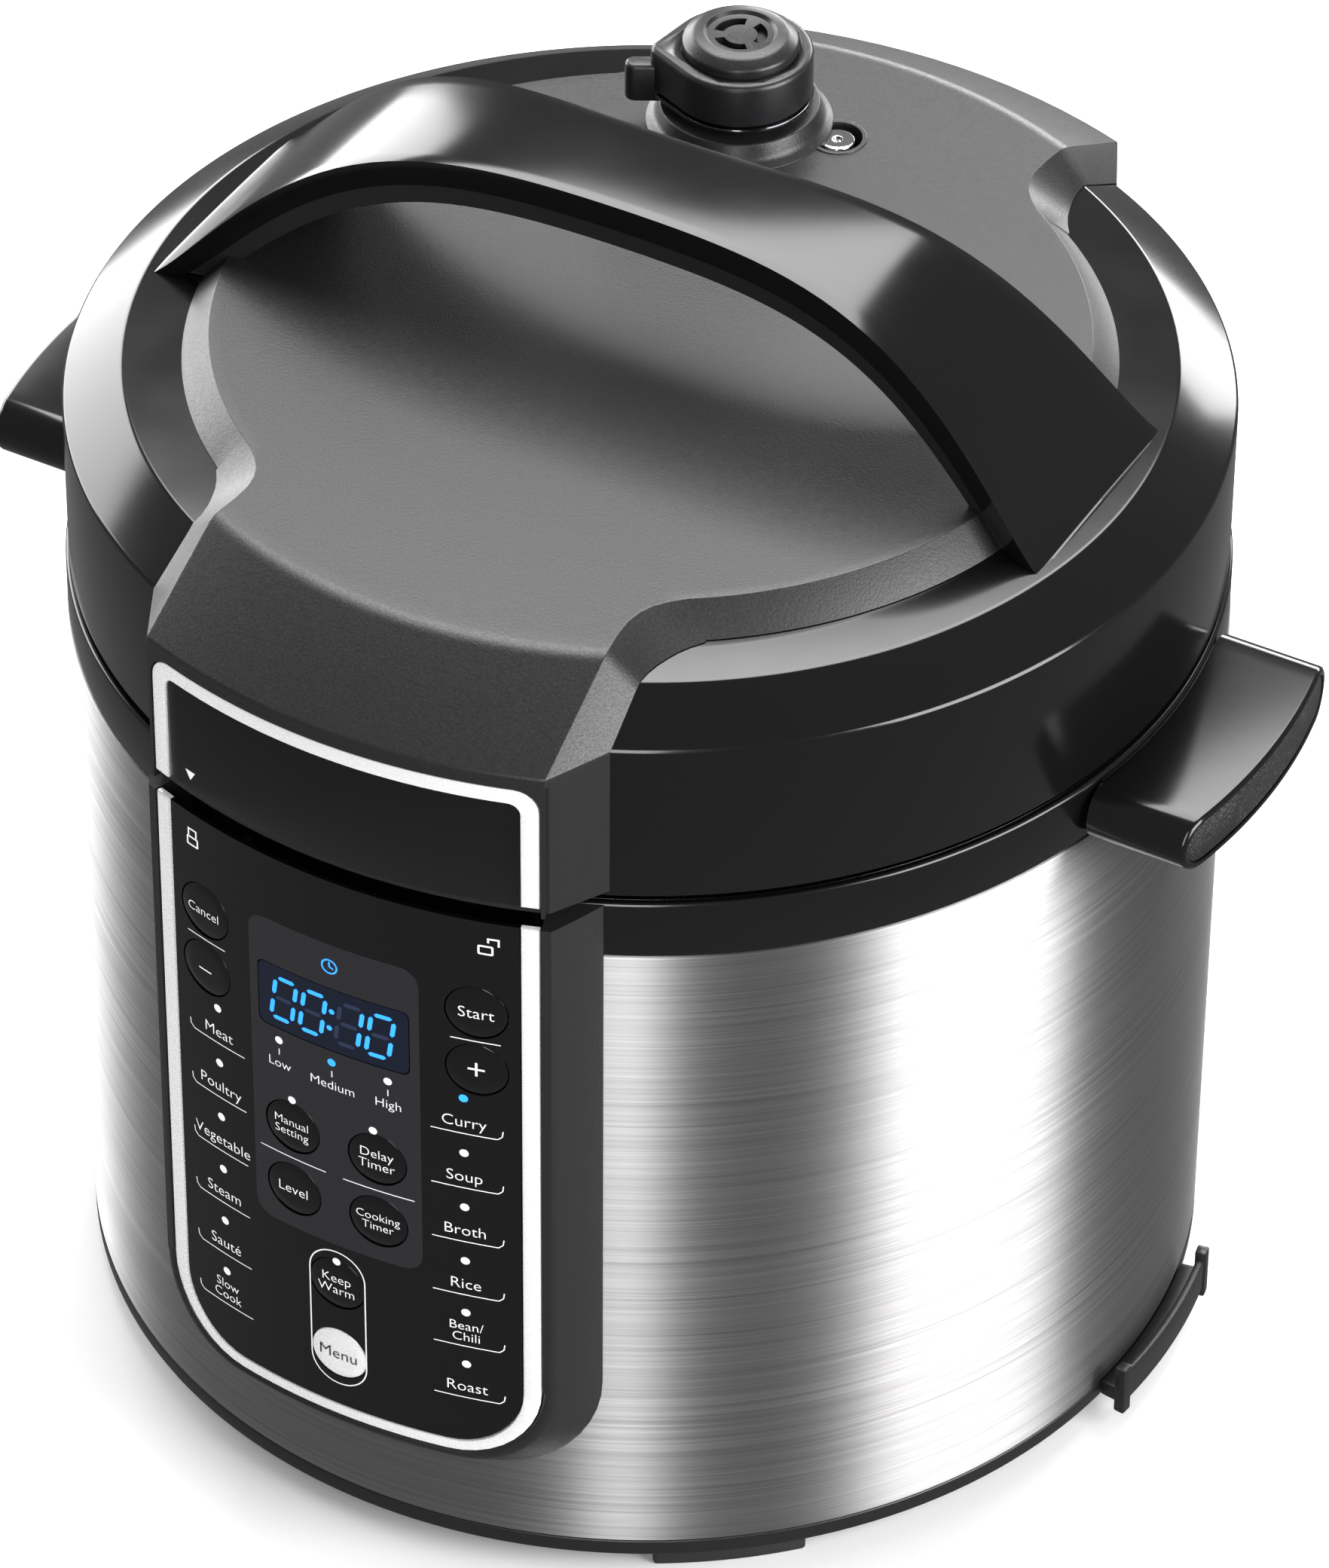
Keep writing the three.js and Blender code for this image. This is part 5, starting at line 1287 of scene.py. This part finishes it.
def make_lid_front():
    outer, inner = across(TRIM_HALF), across(FACE_HALF)
    width = 4.2 * MM
    arch = rounded([
        (-outer, TRIM_LOW), (-inner, TRIM_LOW), (-inner, TRIM_TOP - width, 3 * MM),
        (inner, TRIM_TOP - width, 3 * MM), (inner, TRIM_LOW), (outer, TRIM_LOW),
        (outer, TRIM_TOP, 6 * MM), (-outer, TRIM_TOP, 6 * MM),
    ])
    place(mesh_of("lid_arch_trim", front_plate(arch, 0.12, 1.7, soft=0.45), SILVER), "lid",
          ["lid_front_trim"])
    gap = 0.25 * MM
    face = lid_arch(FACE_HALF - gap, TRIM_LOW, TRIM_TOP - width - gap, 3 * MM)
    place(mesh_of("lid_gloss_plate", front_plate(face, 0.6, 1.7, soft=0.2), GLOSS), "lid",
          ["lid_front_plate"])


make_lid_front()

# %% [markdown]
# ## The lid handle
# The handle is an arch: a glossy shell on top and a textured grip under it. Seen from the front both follow
# the same flat-topped curve, and from above both are narrow in the middle and wide at the feet. A four-sided
# section is pushed along the curve, and its long edges are then rounded.

# %% Handle arch
ARCH_REACH = high("lid_handle_top", "x")
ARCH_HEIGHT = high("lid_handle_top", "z") - RING_TOP
ARCH_POWER = ARCH_REACH / (31.87 * MM)
ARCH_SHARPNESS = 1.33


def arch_place(share, depth):
    x = share * (ARCH_REACH - depth)
    rise = (ARCH_HEIGHT - depth) * (1 - abs(share) ** ARCH_POWER) ** ARCH_SHARPNESS
    return x, RING_TOP + max(0.3 * MM, rise)


def arch_half(x):
    return (15.5 + 16 * (x / ARCH_REACH) ** 2) * MM


def arch_band(upper, lower, inset, crown, steps=72):
    """A band between two depths under the arch; crown lifts the middle of its upper face."""
    bm = bmesh.new()
    across_shares = [-1, -0.8, -0.45, 0, 0.45, 0.8, 1]

    def section(share):
        high_x, high_z = arch_place(share, upper)
        low_x, low_z = arch_place(share, lower)
        wide, narrow = arch_half(high_x) - inset, arch_half(low_x) - inset
        over = [Vector((high_x, s * wide, high_z - crown * s * s)) for s in across_shares]
        under = [Vector((low_x, s * narrow, low_z)) for s in reversed(across_shares)]
        return over + under

    shares = [math.sin(math.pi * (i / steps - 0.5)) for i in range(steps + 1)]
    first = [bm.verts.new(co) for co in section(shares[0])]
    edges = [bm.edges.new((first[i - 1], first[i])) for i in range(len(first))]
    bmesh.ops.contextual_create(bm, geom=edges)
    ring = first
    for share in shares[1:]:
        grown = bmesh.ops.extrude_edge_only(bm, edges=edges)["geom"]
        new_edges = only(grown, bmesh.types.BMEdge)
        joined = {}
        for edge in [e for v in ring for e in v.link_edges]:
            if edge not in new_edges and edge not in edges:
                a, b = edge.verts
                if a in ring and b not in ring:
                    joined[a] = b
                elif b in ring and a not in ring:
                    joined[b] = a
        following = section(share)
        ring = [joined[v] for v in ring]
        for v, co in zip(ring, following):
            v.co = co
        edges = new_edges
    bmesh.ops.contextual_create(bm, geom=edges)
    return bm


def runs_along(edge):
    """True for the long edges of a band, and not for those across its crowned top."""
    a, b = edge.verts[0].co, edge.verts[1].co
    return abs(a.x - b.x) > 1e-6 or abs(a.z - b.z) > 0.4 * MM


def make_lid_handle():
    skin = 7 * MM
    grip = 5.4 * MM
    bm = arch_band(0, skin, 0, 0.5 * MM)
    soften(bm, 1.8 * MM, 4, angle=60, chosen=runs_along)
    place(mesh_of("handle_shell", bm, GLOSS), "lid", ["lid_handle_top"])
    bm = arch_band(skin + SEAM, skin + SEAM + grip, 1.6 * MM, 0)
    soften(bm, 1.2 * MM, 3, angle=60, chosen=runs_along)
    place(mesh_of("handle_grip", bm, TEXTURED), "lid", ["lid_handle_grip"])


make_lid_handle()

# %% [markdown]
# ## Steam release knob
# From above the knob is a teardrop: a disc with a nose towards its lever. It is one outline pushed up, with
# soft edges, and a narrow lever added. A dished cap with three curved slots lies in its top.

# %% Knob
KNOB_LOW = COVER_TOP + 7.7 * MM
KNOB_TOP = KNOB_LOW + 13.7 * MM
KNOB_TURN = math.radians(209)


def teardrop(radius, reach, tip):
    slope = math.acos((radius - tip) / reach)
    big = [slope + (2 * math.pi - 2 * slope) * i / 60 for i in range(61)]
    small = [-slope + 2 * slope * i / 16 for i in range(17)]
    return ([(radius * math.cos(a), radius * math.sin(a)) for a in big]
            + [(reach + tip * math.cos(a), tip * math.sin(a)) for a in small])


def pushed_up(outline, bottom, top):
    bm = bmesh.new()
    face = bm.faces.new([bm.verts.new((x, y, bottom)) for x, y in outline])
    grown = bmesh.ops.extrude_face_region(bm, geom=[face], use_keep_orig=True)
    verts = only(grown["geom"], bmesh.types.BMVert)
    bmesh.ops.translate(bm, verts=verts, vec=(0, 0, top - bottom))
    return bm


def onto_valve(bm):
    rotate(bm, KNOB_TURN)
    bmesh.ops.translate(bm, verts=bm.verts, vec=(*VALVE, 0))
    return bm


def make_knob():
    band_top = KNOB_LOW + 1.2 * MM
    foot = pushed_up(teardrop(18.1 * MM, 18.4 * MM, 3.6 * MM), KNOB_LOW + 0.2 * MM, band_top)
    place(mesh_of("knob_foot", onto_valve(soften(foot, 0.3 * MM, 2)), CHROME_DARK), "knob")
    body = pushed_up(teardrop(17.8 * MM, 18.2 * MM, 3.5 * MM), band_top, KNOB_TOP - 0.4 * MM)
    soften(body, 1.5 * MM, 4)
    made = mesh_of("knob_body", onto_valve(body), SATIN)
    cut_out(made, post(*VALVE, 14.5 * MM, KNOB_TOP - 1.4 * MM, KNOB_TOP + 9 * MM, 96))
    place(made, "knob", ["valve_knob"])
    paddle = [tuple(p) for p in rounded(rectangle(8 * MM, 27.9 * MM, -2.5 * MM, 2.5 * MM, 2.4 * MM))]
    lever = pushed_up(paddle, KNOB_LOW - 1.6 * MM, KNOB_TOP - 4.8 * MM)
    place(mesh_of("knob_lever", onto_valve(soften(lever, 1.0 * MM, 3)), SATIN), "knob")


def make_cap():
    top = KNOB_TOP
    bm = turned([
        (0, top - 1.3 * MM),
        (14.2 * MM, top - 1.3 * MM),
        (14.2 * MM, top + 1.9 * MM, 1.2 * MM),
        (11.6 * MM, top + 3.7 * MM, 3 * MM),
        (8.9 * MM, top + 4.2 * MM, 0.3 * MM),
        (8.2 * MM, top + 3.3 * MM, 0.3 * MM),
        (0, top + 2.9 * MM),
    ], steps=96, centre=VALVE)
    cap = mesh_of("knob_cap", bm, SATIN)
    cutter = bmesh.new()
    for number in range(3):
        middle = KNOB_TURN + math.radians(60 + 120 * number)
        outer = [middle + math.radians(-44 + 5.5 * i) for i in range(17)]
        ring = ([(6.6 * MM * math.cos(a), 6.6 * MM * math.sin(a)) for a in outer]
                + [(4.1 * MM * math.cos(a), 4.1 * MM * math.sin(a)) for a in reversed(outer)])
        face = cutter.faces.new([cutter.verts.new((VALVE[0] + x, VALVE[1] + y, top + 1.4 * MM))
                                 for x, y in ring])
        grown = bmesh.ops.extrude_face_region(cutter, geom=[face], use_keep_orig=True)
        verts = only(grown["geom"], bmesh.types.BMVert)
        bmesh.ops.translate(cutter, verts=verts, vec=(0, 0, 8 * MM))
    cut_out(cap, cutter)
    place(cap, "knob", ["valve_cap"])


make_knob()
make_cap()

# %% Float pin


def make_float():
    head = high("float_pin", "z")
    foot = low("float_pin", "z")
    guide = COVER_TOP - 6 * MM
    bm = turned([
        (0, foot), (5 * MM, foot, 0.3 * MM), (5 * MM, foot + 2 * MM, 0.3 * MM), (3 * MM, foot + 2 * MM),
        (3 * MM, guide), (4.4 * MM, guide), (4.4 * MM, head, 0.5 * MM), (1.3 * MM, head, 0.2 * MM),
        (0.9 * MM, head - 0.8 * MM), (0, head - 0.8 * MM),
    ], steps=48, centre=FLOAT)
    place(mesh_of("float_plunger", bm, CHROME), "float", ["float_pin"])


make_float()

# %% [markdown]
# ## The control panel
# The panel stands proud of the wall. Its frame is a textured U whose outer edge slopes back to the steel,
# with a silver U in it and a glossy face inside that. Frame and trim are outlines drawn flat; the frame's
# second outline, at the steel, is larger, and a skin is stretched between the two.

# %% Panel frame
FACE_LOW = PANEL_LOW - SEAM
FACE_TOP = PANEL_TOP
STEP_BACK = FRONT_R - BODY_R - SEAM


def u_shape(half_out, low_out, corner_out, half_in, low_in, corner_in, top):
    return rounded([
        (-half_out, top), (-half_out, low_out, corner_out), (half_out, low_out, corner_out),
        (half_out, top), (half_in, top), (half_in, low_in, corner_in), (-half_in, low_in, corner_in),
        (-half_in, top),
    ], pieces=10)


def make_panel_frame():
    frame_low = low("panel_bezel", "z")
    top = high("panel_bezel", "z")
    pocket = (across(TRIM_HALF + SEAM), FACE_LOW - 3.3 * MM, 23.4 * MM)
    foot_angle = math.asin(high("panel_bezel", "x") / (BODY_R + SEAM))
    near = u_shape(across(53.5 * MM), frame_low + 9 * MM, 24 * MM, *pocket, top)
    far = u_shape(foot_angle * FRONT_R, frame_low, 30 * MM, *pocket, top)
    bm = bmesh.new()
    front_edges = outline_edges(bm, near, 0)
    bmesh.ops.triangle_fill(bm, edges=front_edges, use_beauty=True, use_dissolve=False, normal=(0, -1, 0))
    back_edges = outline_edges(bm, far, STEP_BACK)
    bmesh.ops.triangle_fill(bm, edges=back_edges, use_beauty=True, use_dissolve=False, normal=(0, 1, 0))
    bmesh.ops.bridge_loops(bm, edges=front_edges + back_edges)
    soften(bm, 1.0 * MM, 3, angle=20, chosen=lambda e: all(abs(v.co.y) < 1e-6 for v in e.verts)
           and e.verts[0].co.z < top - 1e-6 and e.verts[1].co.z < top - 1e-6)
    sliced(bm, 4 * MM)
    wrapped(bm, FRONT_R)
    place(mesh_of("panel_frame", bm, TEXTURED), "base", ["panel_bezel"])


make_panel_frame()

# %% Keys and where they are


def key_place(node):
    corner_low, corner_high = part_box(node)
    angle = math.atan2((corner_low.x + corner_high.x) / 2, -(corner_low.y + corner_high.y) / 2)
    return angle, (corner_low.z + corner_high.z) / 2


KEY_R = 7.6 * MM
KEY_NODES = ["key_cancel", "key_minus", "key_start", "key_plus", "key_manual", "key_delay", "key_level",
             "key_timer", "key_warm", "key_menu"]
KEY_PLACES = {name: key_place(name) for name in KEY_NODES}


def make_key(name):
    angle, height = KEY_PLACES[name]
    bm = turned([
        (0, FRONT_R - 3.2 * MM),
        (KEY_R - 0.1 * MM, FRONT_R - 3.2 * MM),
        (KEY_R - 0.1 * MM, FRONT_R - 0.75 * MM, 0.35 * MM),
        (KEY_R * 0.7, FRONT_R - 0.35 * MM, 6 * MM),
        (0, FRONT_R - 0.15 * MM),
    ], steps=SMALL)
    rotate(bm, math.pi / 2, "X")
    rotate(bm, angle)
    bmesh.ops.translate(bm, verts=bm.verts, vec=(0, 0, height))
    menu = name == "key_menu"
    cap = mesh_of(name + "_cap", bm, SILVER if menu else PANEL)
    place(cap, name, [name])


for key in KEY_NODES:
    make_key(key)

# %% Silver trim, glossy face and window
WINDOW_HALF = high("display_window", "x")
WINDOW_LOW = low("display_window", "z")
WINDOW_TOP = high("display_window", "z")


def panel_outline(half, bottom, corner, top):
    u = across(half)
    return rounded([(-u, top), (-u, bottom, corner), (u, bottom, corner), (u, top)], pieces=10)


def key_holes(names):
    return [circle(KEY_PLACES[name][0] * FRONT_R, KEY_PLACES[name][1], KEY_R + 0.2 * MM, 40)
            for name in names]


def window_outline(margin):
    u = across(WINDOW_HALF) + margin
    return rounded(rectangle(-u, u, WINDOW_LOW - margin, WINDOW_TOP + margin, 2 * MM), pieces=4)


def make_panel():
    trim = u_shape(across(TRIM_HALF), FACE_LOW - 3 * MM, 23.2 * MM, across(FACE_HALF), FACE_LOW, 19 * MM,
                   FACE_TOP)
    place(mesh_of("panel_u_trim", front_plate(trim, 0.12, 1.7, soft=0.45), SILVER), "base",
          ["panel_trim"])
    gap = 0.25 * MM
    face = panel_outline(FACE_HALF - gap, FACE_LOW + gap, 19 * MM, FACE_TOP)
    holes = key_holes(KEY_NODES) + [window_outline(0.25 * MM)]
    place(mesh_of("panel_gloss_face", front_plate(face, 0.5, 1.7, holes), PANEL), "base",
          ["panel_face"])
    place(mesh_of("figure_window", front_plate(window_outline(0), 0.5, 1.7), WINDOW), "base",
          ["display_window"])
    shade_half = math.radians(8.7) * FRONT_R
    shade = rounded(rectangle(-shade_half, shade_half, 101 * MM, 194.5 * MM, 5 * MM))
    middle_keys = key_holes(["key_manual", "key_delay", "key_level", "key_timer"])
    shade_bm = front_plate(shade, 0.47, 0.495, middle_keys + [window_outline(0.25 * MM)])
    place(mesh_of("panel_shade", shade_bm, SHADE_INK), "base")


make_panel()

# %% [markdown]
# ## Printing on the panel
# Words are text objects turned into meshes while still flat, then wrapped round the front like the plates.
# Lines and dots are small flat outlines. All the ink that rides on one body becomes one piece.

# %% Lettering helpers


def text_faces(words, size, u, z):
    """The flat mesh of some words, centred on a place of the unrolled front."""
    curve = bpy.data.curves.new("words", "FONT")
    curve.body = words
    curve.size = size * MM
    curve.align_x = "CENTER"
    curve.align_y = "CENTER"
    curve.resolution_u = 3
    curve.space_line = 0.9
    curve.offset = -0.008 * size * MM
    shown = linked("words", curve)
    view = bpy.context.evaluated_depsgraph_get()
    mesh = bpy.data.meshes.new_from_object(shown.evaluated_get(view))
    bpy.data.objects.remove(shown)
    bpy.data.curves.remove(curve)
    mesh.transform(Matrix.Translation((u, 0, z)) @ Matrix.Rotation(math.pi / 2, 4, "X"))
    return mesh


def flat_shape(bm, points, holes=()):
    edges = outline_edges(bm, points, 0)
    for hole in holes:
        edges += outline_edges(bm, hole, 0)
    bmesh.ops.triangle_fill(bm, edges=edges, use_beauty=True, use_dissolve=False, normal=(0, -1, 0))


def line(bm, u0, z0, u1, z1, width=0.28):
    along = Vector((u1 - u0, z1 - z0)).normalized()
    side = Vector((-along.y, along.x)) * width * MM / 2
    a, b = Vector((u0, z0)), Vector((u1, z1))
    flat_shape(bm, [a - side, b - side, b + side, a + side])


def ring_of(bm, points, inner_points):
    flat_shape(bm, points, [inner_points])


def printed(name, bm, material, body, depth=0.45, stands_for=()):
    """Wraps flat ink round the front, with every face turned outwards."""
    sliced(bm, 4 * MM)
    for v in bm.verts:
        v.co.y = depth * MM
    wrapped(bm, FRONT_R)
    bm.normal_update()
    for face in bm.faces:
        middle = face.calc_center_median()
        if face.normal.dot(Vector((middle.x, middle.y, 0))) < 0:
            face.normal_flip()
    mesh = bpy.data.meshes.new(name)
    bm.to_mesh(mesh)
    bm.free()
    mesh.materials.append(material)
    made = linked(name, mesh)
    return place(made, body, stands_for)


def add_words(bm, *args):
    mesh = text_faces(*args)
    bm.from_mesh(mesh)
    bpy.data.meshes.remove(mesh)


# %% Program names and their lines
ARC = math.radians(1) * FRONT_R
LEFT_PROGRAMS = [("Meat", 158), ("Poultry", 141), ("Vegetable", 124), ("Steam", 107.4), ("Sauté", 90.8),
                 ("Slow\nCook", 74.4)]
RIGHT_PROGRAMS = [("Curry", 159), ("Soup", 142), ("Broth", 125), ("Rice", 108), ("Bean/\nChili", 91.4),
                  ("Roast", 74.7)]
LIT_PROGRAM = "Curry"


def curled_line(bm, u, z, side):
    """An underline that curls up at its outer end."""
    line(bm, u - side * 8.2 * MM, z, u + side * 8.2 * MM, z)
    line(bm, u + side * 8.2 * MM, z, u + side * 9.3 * MM, z + 1.0 * MM)
    line(bm, u + side * 9.3 * MM, z + 1.0 * MM, u + side * 9.5 * MM, z + 2.6 * MM)


def make_panel_print():
    ink, glow = bmesh.new(), bmesh.new()
    for side, programs in ((-1, LEFT_PROGRAMS), (1, RIGHT_PROGRAMS)):
        u = side * 12.75 * ARC
        for words, height in programs:
            double = "\n" in words
            add_words(ink, words, 3.9 if double else 4.6, u, (height - (6.3 if double else 7.5)) * MM)
            curled_line(ink, u, (height - 10.9) * MM, side)
            flat_shape(glow if words == LIT_PROGRAM else ink, circle(u, height * MM, 1.15 * MM, 20))
    for words, angle, lit in (("Low", -5.6, False), ("Medium", 0, True), ("High", 5.6, False)):
        flat_shape(glow if lit else ink, circle(angle * ARC, 158.4 * MM, 1.1 * MM, 20))
        line(ink, angle * ARC, 155.8 * MM, angle * ARC, 153.9 * MM)
        add_words(ink, words, 3.8, angle * ARC, 151.2 * MM)
    for angle, height in ((-4.35, 141.4), (4.05, 141.6), (0, 95.6)):
        flat_shape(ink, circle(angle * ARC, height * MM, 1.1 * MM, 20))
    line(ink, -8.0 * ARC, 123.1 * MM, -0.9 * ARC, 123.1 * MM)
    line(ink, 0.9 * ARC, 123.1 * MM, 8.0 * ARC, 123.1 * MM)
    for side in (-1, 1):
        line(ink, side * 11.6 * ARC, 177.2 * MM, side * 16.2 * ARC, 177.2 * MM)
    pill = rounded(rectangle(-2.95 * ARC, 2.95 * ARC, 55.8 * MM, 98.9 * MM, 7.7 * MM), pieces=8)
    inner = rounded(rectangle(-2.95 * ARC + 0.35 * MM, 2.95 * ARC - 0.35 * MM, 56.15 * MM, 98.55 * MM,
                              7.35 * MM), pieces=8)
    ring_of(ink, pill, inner)
    add_lock(ink, -15.2 * ARC, 205.4 * MM, False)
    add_lock(ink, 14.9 * ARC, 205.6 * MM, True)
    printed("panel_print", ink, WHITE_INK, "base")
    printed("diodes_on", glow, BLUE_GLOW, "base", 0.44)


def add_lock(bm, u, z, opened):
    body = rounded(rectangle(u - 1.9 * MM, u + 1.9 * MM, z - 1.7 * MM, z + 1.1 * MM, 0.4 * MM), pieces=2)
    hollow = rounded(rectangle(u - 1.4 * MM, u + 1.4 * MM, z - 1.2 * MM, z + 0.6 * MM, 0.2 * MM), pieces=2)
    ring_of(bm, body, hollow)
    shift = 1.9 * MM if opened else 0
    left, right = u - 1.25 * MM + shift, u + 1.25 * MM + shift
    line(bm, right, z + 1.2 * MM, right, z + 3.0 * MM, 0.5)
    line(bm, left, z + (2.0 if opened else 1.2) * MM, left, z + 3.0 * MM, 0.5)
    line(bm, left - 0.25 * MM, z + 3.2 * MM, right + 0.25 * MM, z + 3.2 * MM, 0.5)


make_panel_print()

# %% [markdown]
# Each key carries its own word, so that the word moves with the key.

# %% Words on the keys
KEY_WORDS = {
    "key_cancel": ("Cancel", 3.7), "key_minus": ("–", 8), "key_start": ("Start", 4.6),
    "key_plus": ("+", 9), "key_manual": ("Manual\nSetting", 3.5), "key_delay": ("Delay\nTimer", 3.9),
    "key_level": ("Level", 4.2), "key_timer": ("Cooking\nTimer", 3.4), "key_warm": ("Keep\nWarm", 3.9),
    "key_menu": ("Menu", 4.8),
}
for key, (words, size) in KEY_WORDS.items():
    angle, height = KEY_PLACES[key]
    word_bm = bmesh.new()
    add_words(word_bm, words, size, angle * FRONT_R, height)
    printed(key + "_word", word_bm, DARK_INK if key == "key_menu" else WHITE_INK, key, 0.08)

# %% [markdown]
# The figures are seven-segment diodes that lean to the right. The segments that are off still show faintly.

# %% Figures in the window
SEGMENTS = {"0": "abcdef", "1": "bc"}
DIGIT_W, DIGIT_H, BAR = 6.4 * MM, 12.4 * MM, 1.3 * MM


def segment_outlines():
    w, h, t = DIGIT_W / 2, DIGIT_H / 2, BAR / 2

    def lying(z):
        return [(-w + t, z), (-w + 2 * t, z + t), (w - 2 * t, z + t), (w - t, z), (w - 2 * t, z - t),
                (-w + 2 * t, z - t)]

    def standing(x, z0, z1):
        return [(x, z0 + t), (x + t, z0 + 2 * t), (x + t, z1 - 2 * t), (x, z1 - t),
                (x - t, z1 - 2 * t), (x - t, z0 + 2 * t)]

    edge = w - t * 0.4
    return {"a": lying(h), "g": lying(0), "d": lying(-h), "b": standing(edge, 0, h),
            "c": standing(edge, -h, 0), "e": standing(-edge, -h, 0), "f": standing(-edge, 0, h)}


def make_figures():
    lit, dark = bmesh.new(), bmesh.new()
    middle = (WINDOW_LOW + WINDOW_TOP) / 2
    shrink = 0.92
    for figure, place_u in zip("0010", (-13.0, -4.9, 4.9, 13.0)):
        for name, points in segment_outlines().items():
            shape = []
            centre = sum((Vector(p) for p in points), Vector((0, 0))) / len(points)
            for point in points:
                p = centre + (Vector(point) - centre) * shrink
                shape.append((place_u * MM + p.x + 0.14 * p.y, middle + p.y))
            flat_shape(lit if name in SEGMENTS[figure] else dark, shape)
    for z in (-2.6, 2.6):
        flat_shape(lit, circle(0.14 * z * MM, middle + z * MM, 0.75 * MM, 16))
    clock_u, clock_z = 0.0, 187.8 * MM
    ring_of(lit, circle(clock_u, clock_z, 2.2 * MM, 28), circle(clock_u, clock_z, 1.75 * MM, 28))
    line(lit, clock_u, clock_z, clock_u, clock_z + 1.4 * MM, 0.45)
    line(lit, clock_u, clock_z, clock_u + 1.1 * MM, clock_z - 0.5 * MM, 0.45)
    printed("figures_lit", lit, BLUE_GLOW, "base", 0.43)
    printed("figures_dark", dark, UNLIT, "base", 0.46)


make_figures()

# %% Mark on the lid


def make_lid_mark():
    bm = bmesh.new()
    u, z = -15.2 * ARC, 225 * MM
    flat_shape(bm, [(u - 1.6 * MM, z + 1.1 * MM), (u, z - 1.5 * MM), (u + 1.6 * MM, z + 1.1 * MM)])
    printed("lid_mark", bm, WHITE_INK, "lid", 0.55)


make_lid_mark()

# %% [markdown]
# ## The parts that stay
# Some engineering pieces already have the right shape, such as the inlet, the screws and the boards. They
# keep their meshes and only get a better finish.

# %% Finish the remaining engineering pieces
FINISH_FOR = {
    "power_inlet": SATIN, "support_post_1": SATIN, "support_post_2": SATIN, "support_post_3": SATIN,
    "sensor_bracket": STAMPED, "sensor_spring": STAMPED, "pressure_switch": SATIN,
    "power_board": BOARD, "control_board": BOARD, "display_module": SATIN, "seal_rack": STAMPED,
    "steam_pipe": STAMPED, "anti_block_shield": STAMPED, "float_guide": SATIN,
    "float_gasket": SILICONE, "handle_screw_left": STAMPED, "handle_screw_right": STAMPED,
}
for name, material in FINISH_FOR.items():
    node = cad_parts[name]
    node.data.materials.clear()
    node.data.materials.append(material)
print("finished pieces:", len(FINISH_FOR))
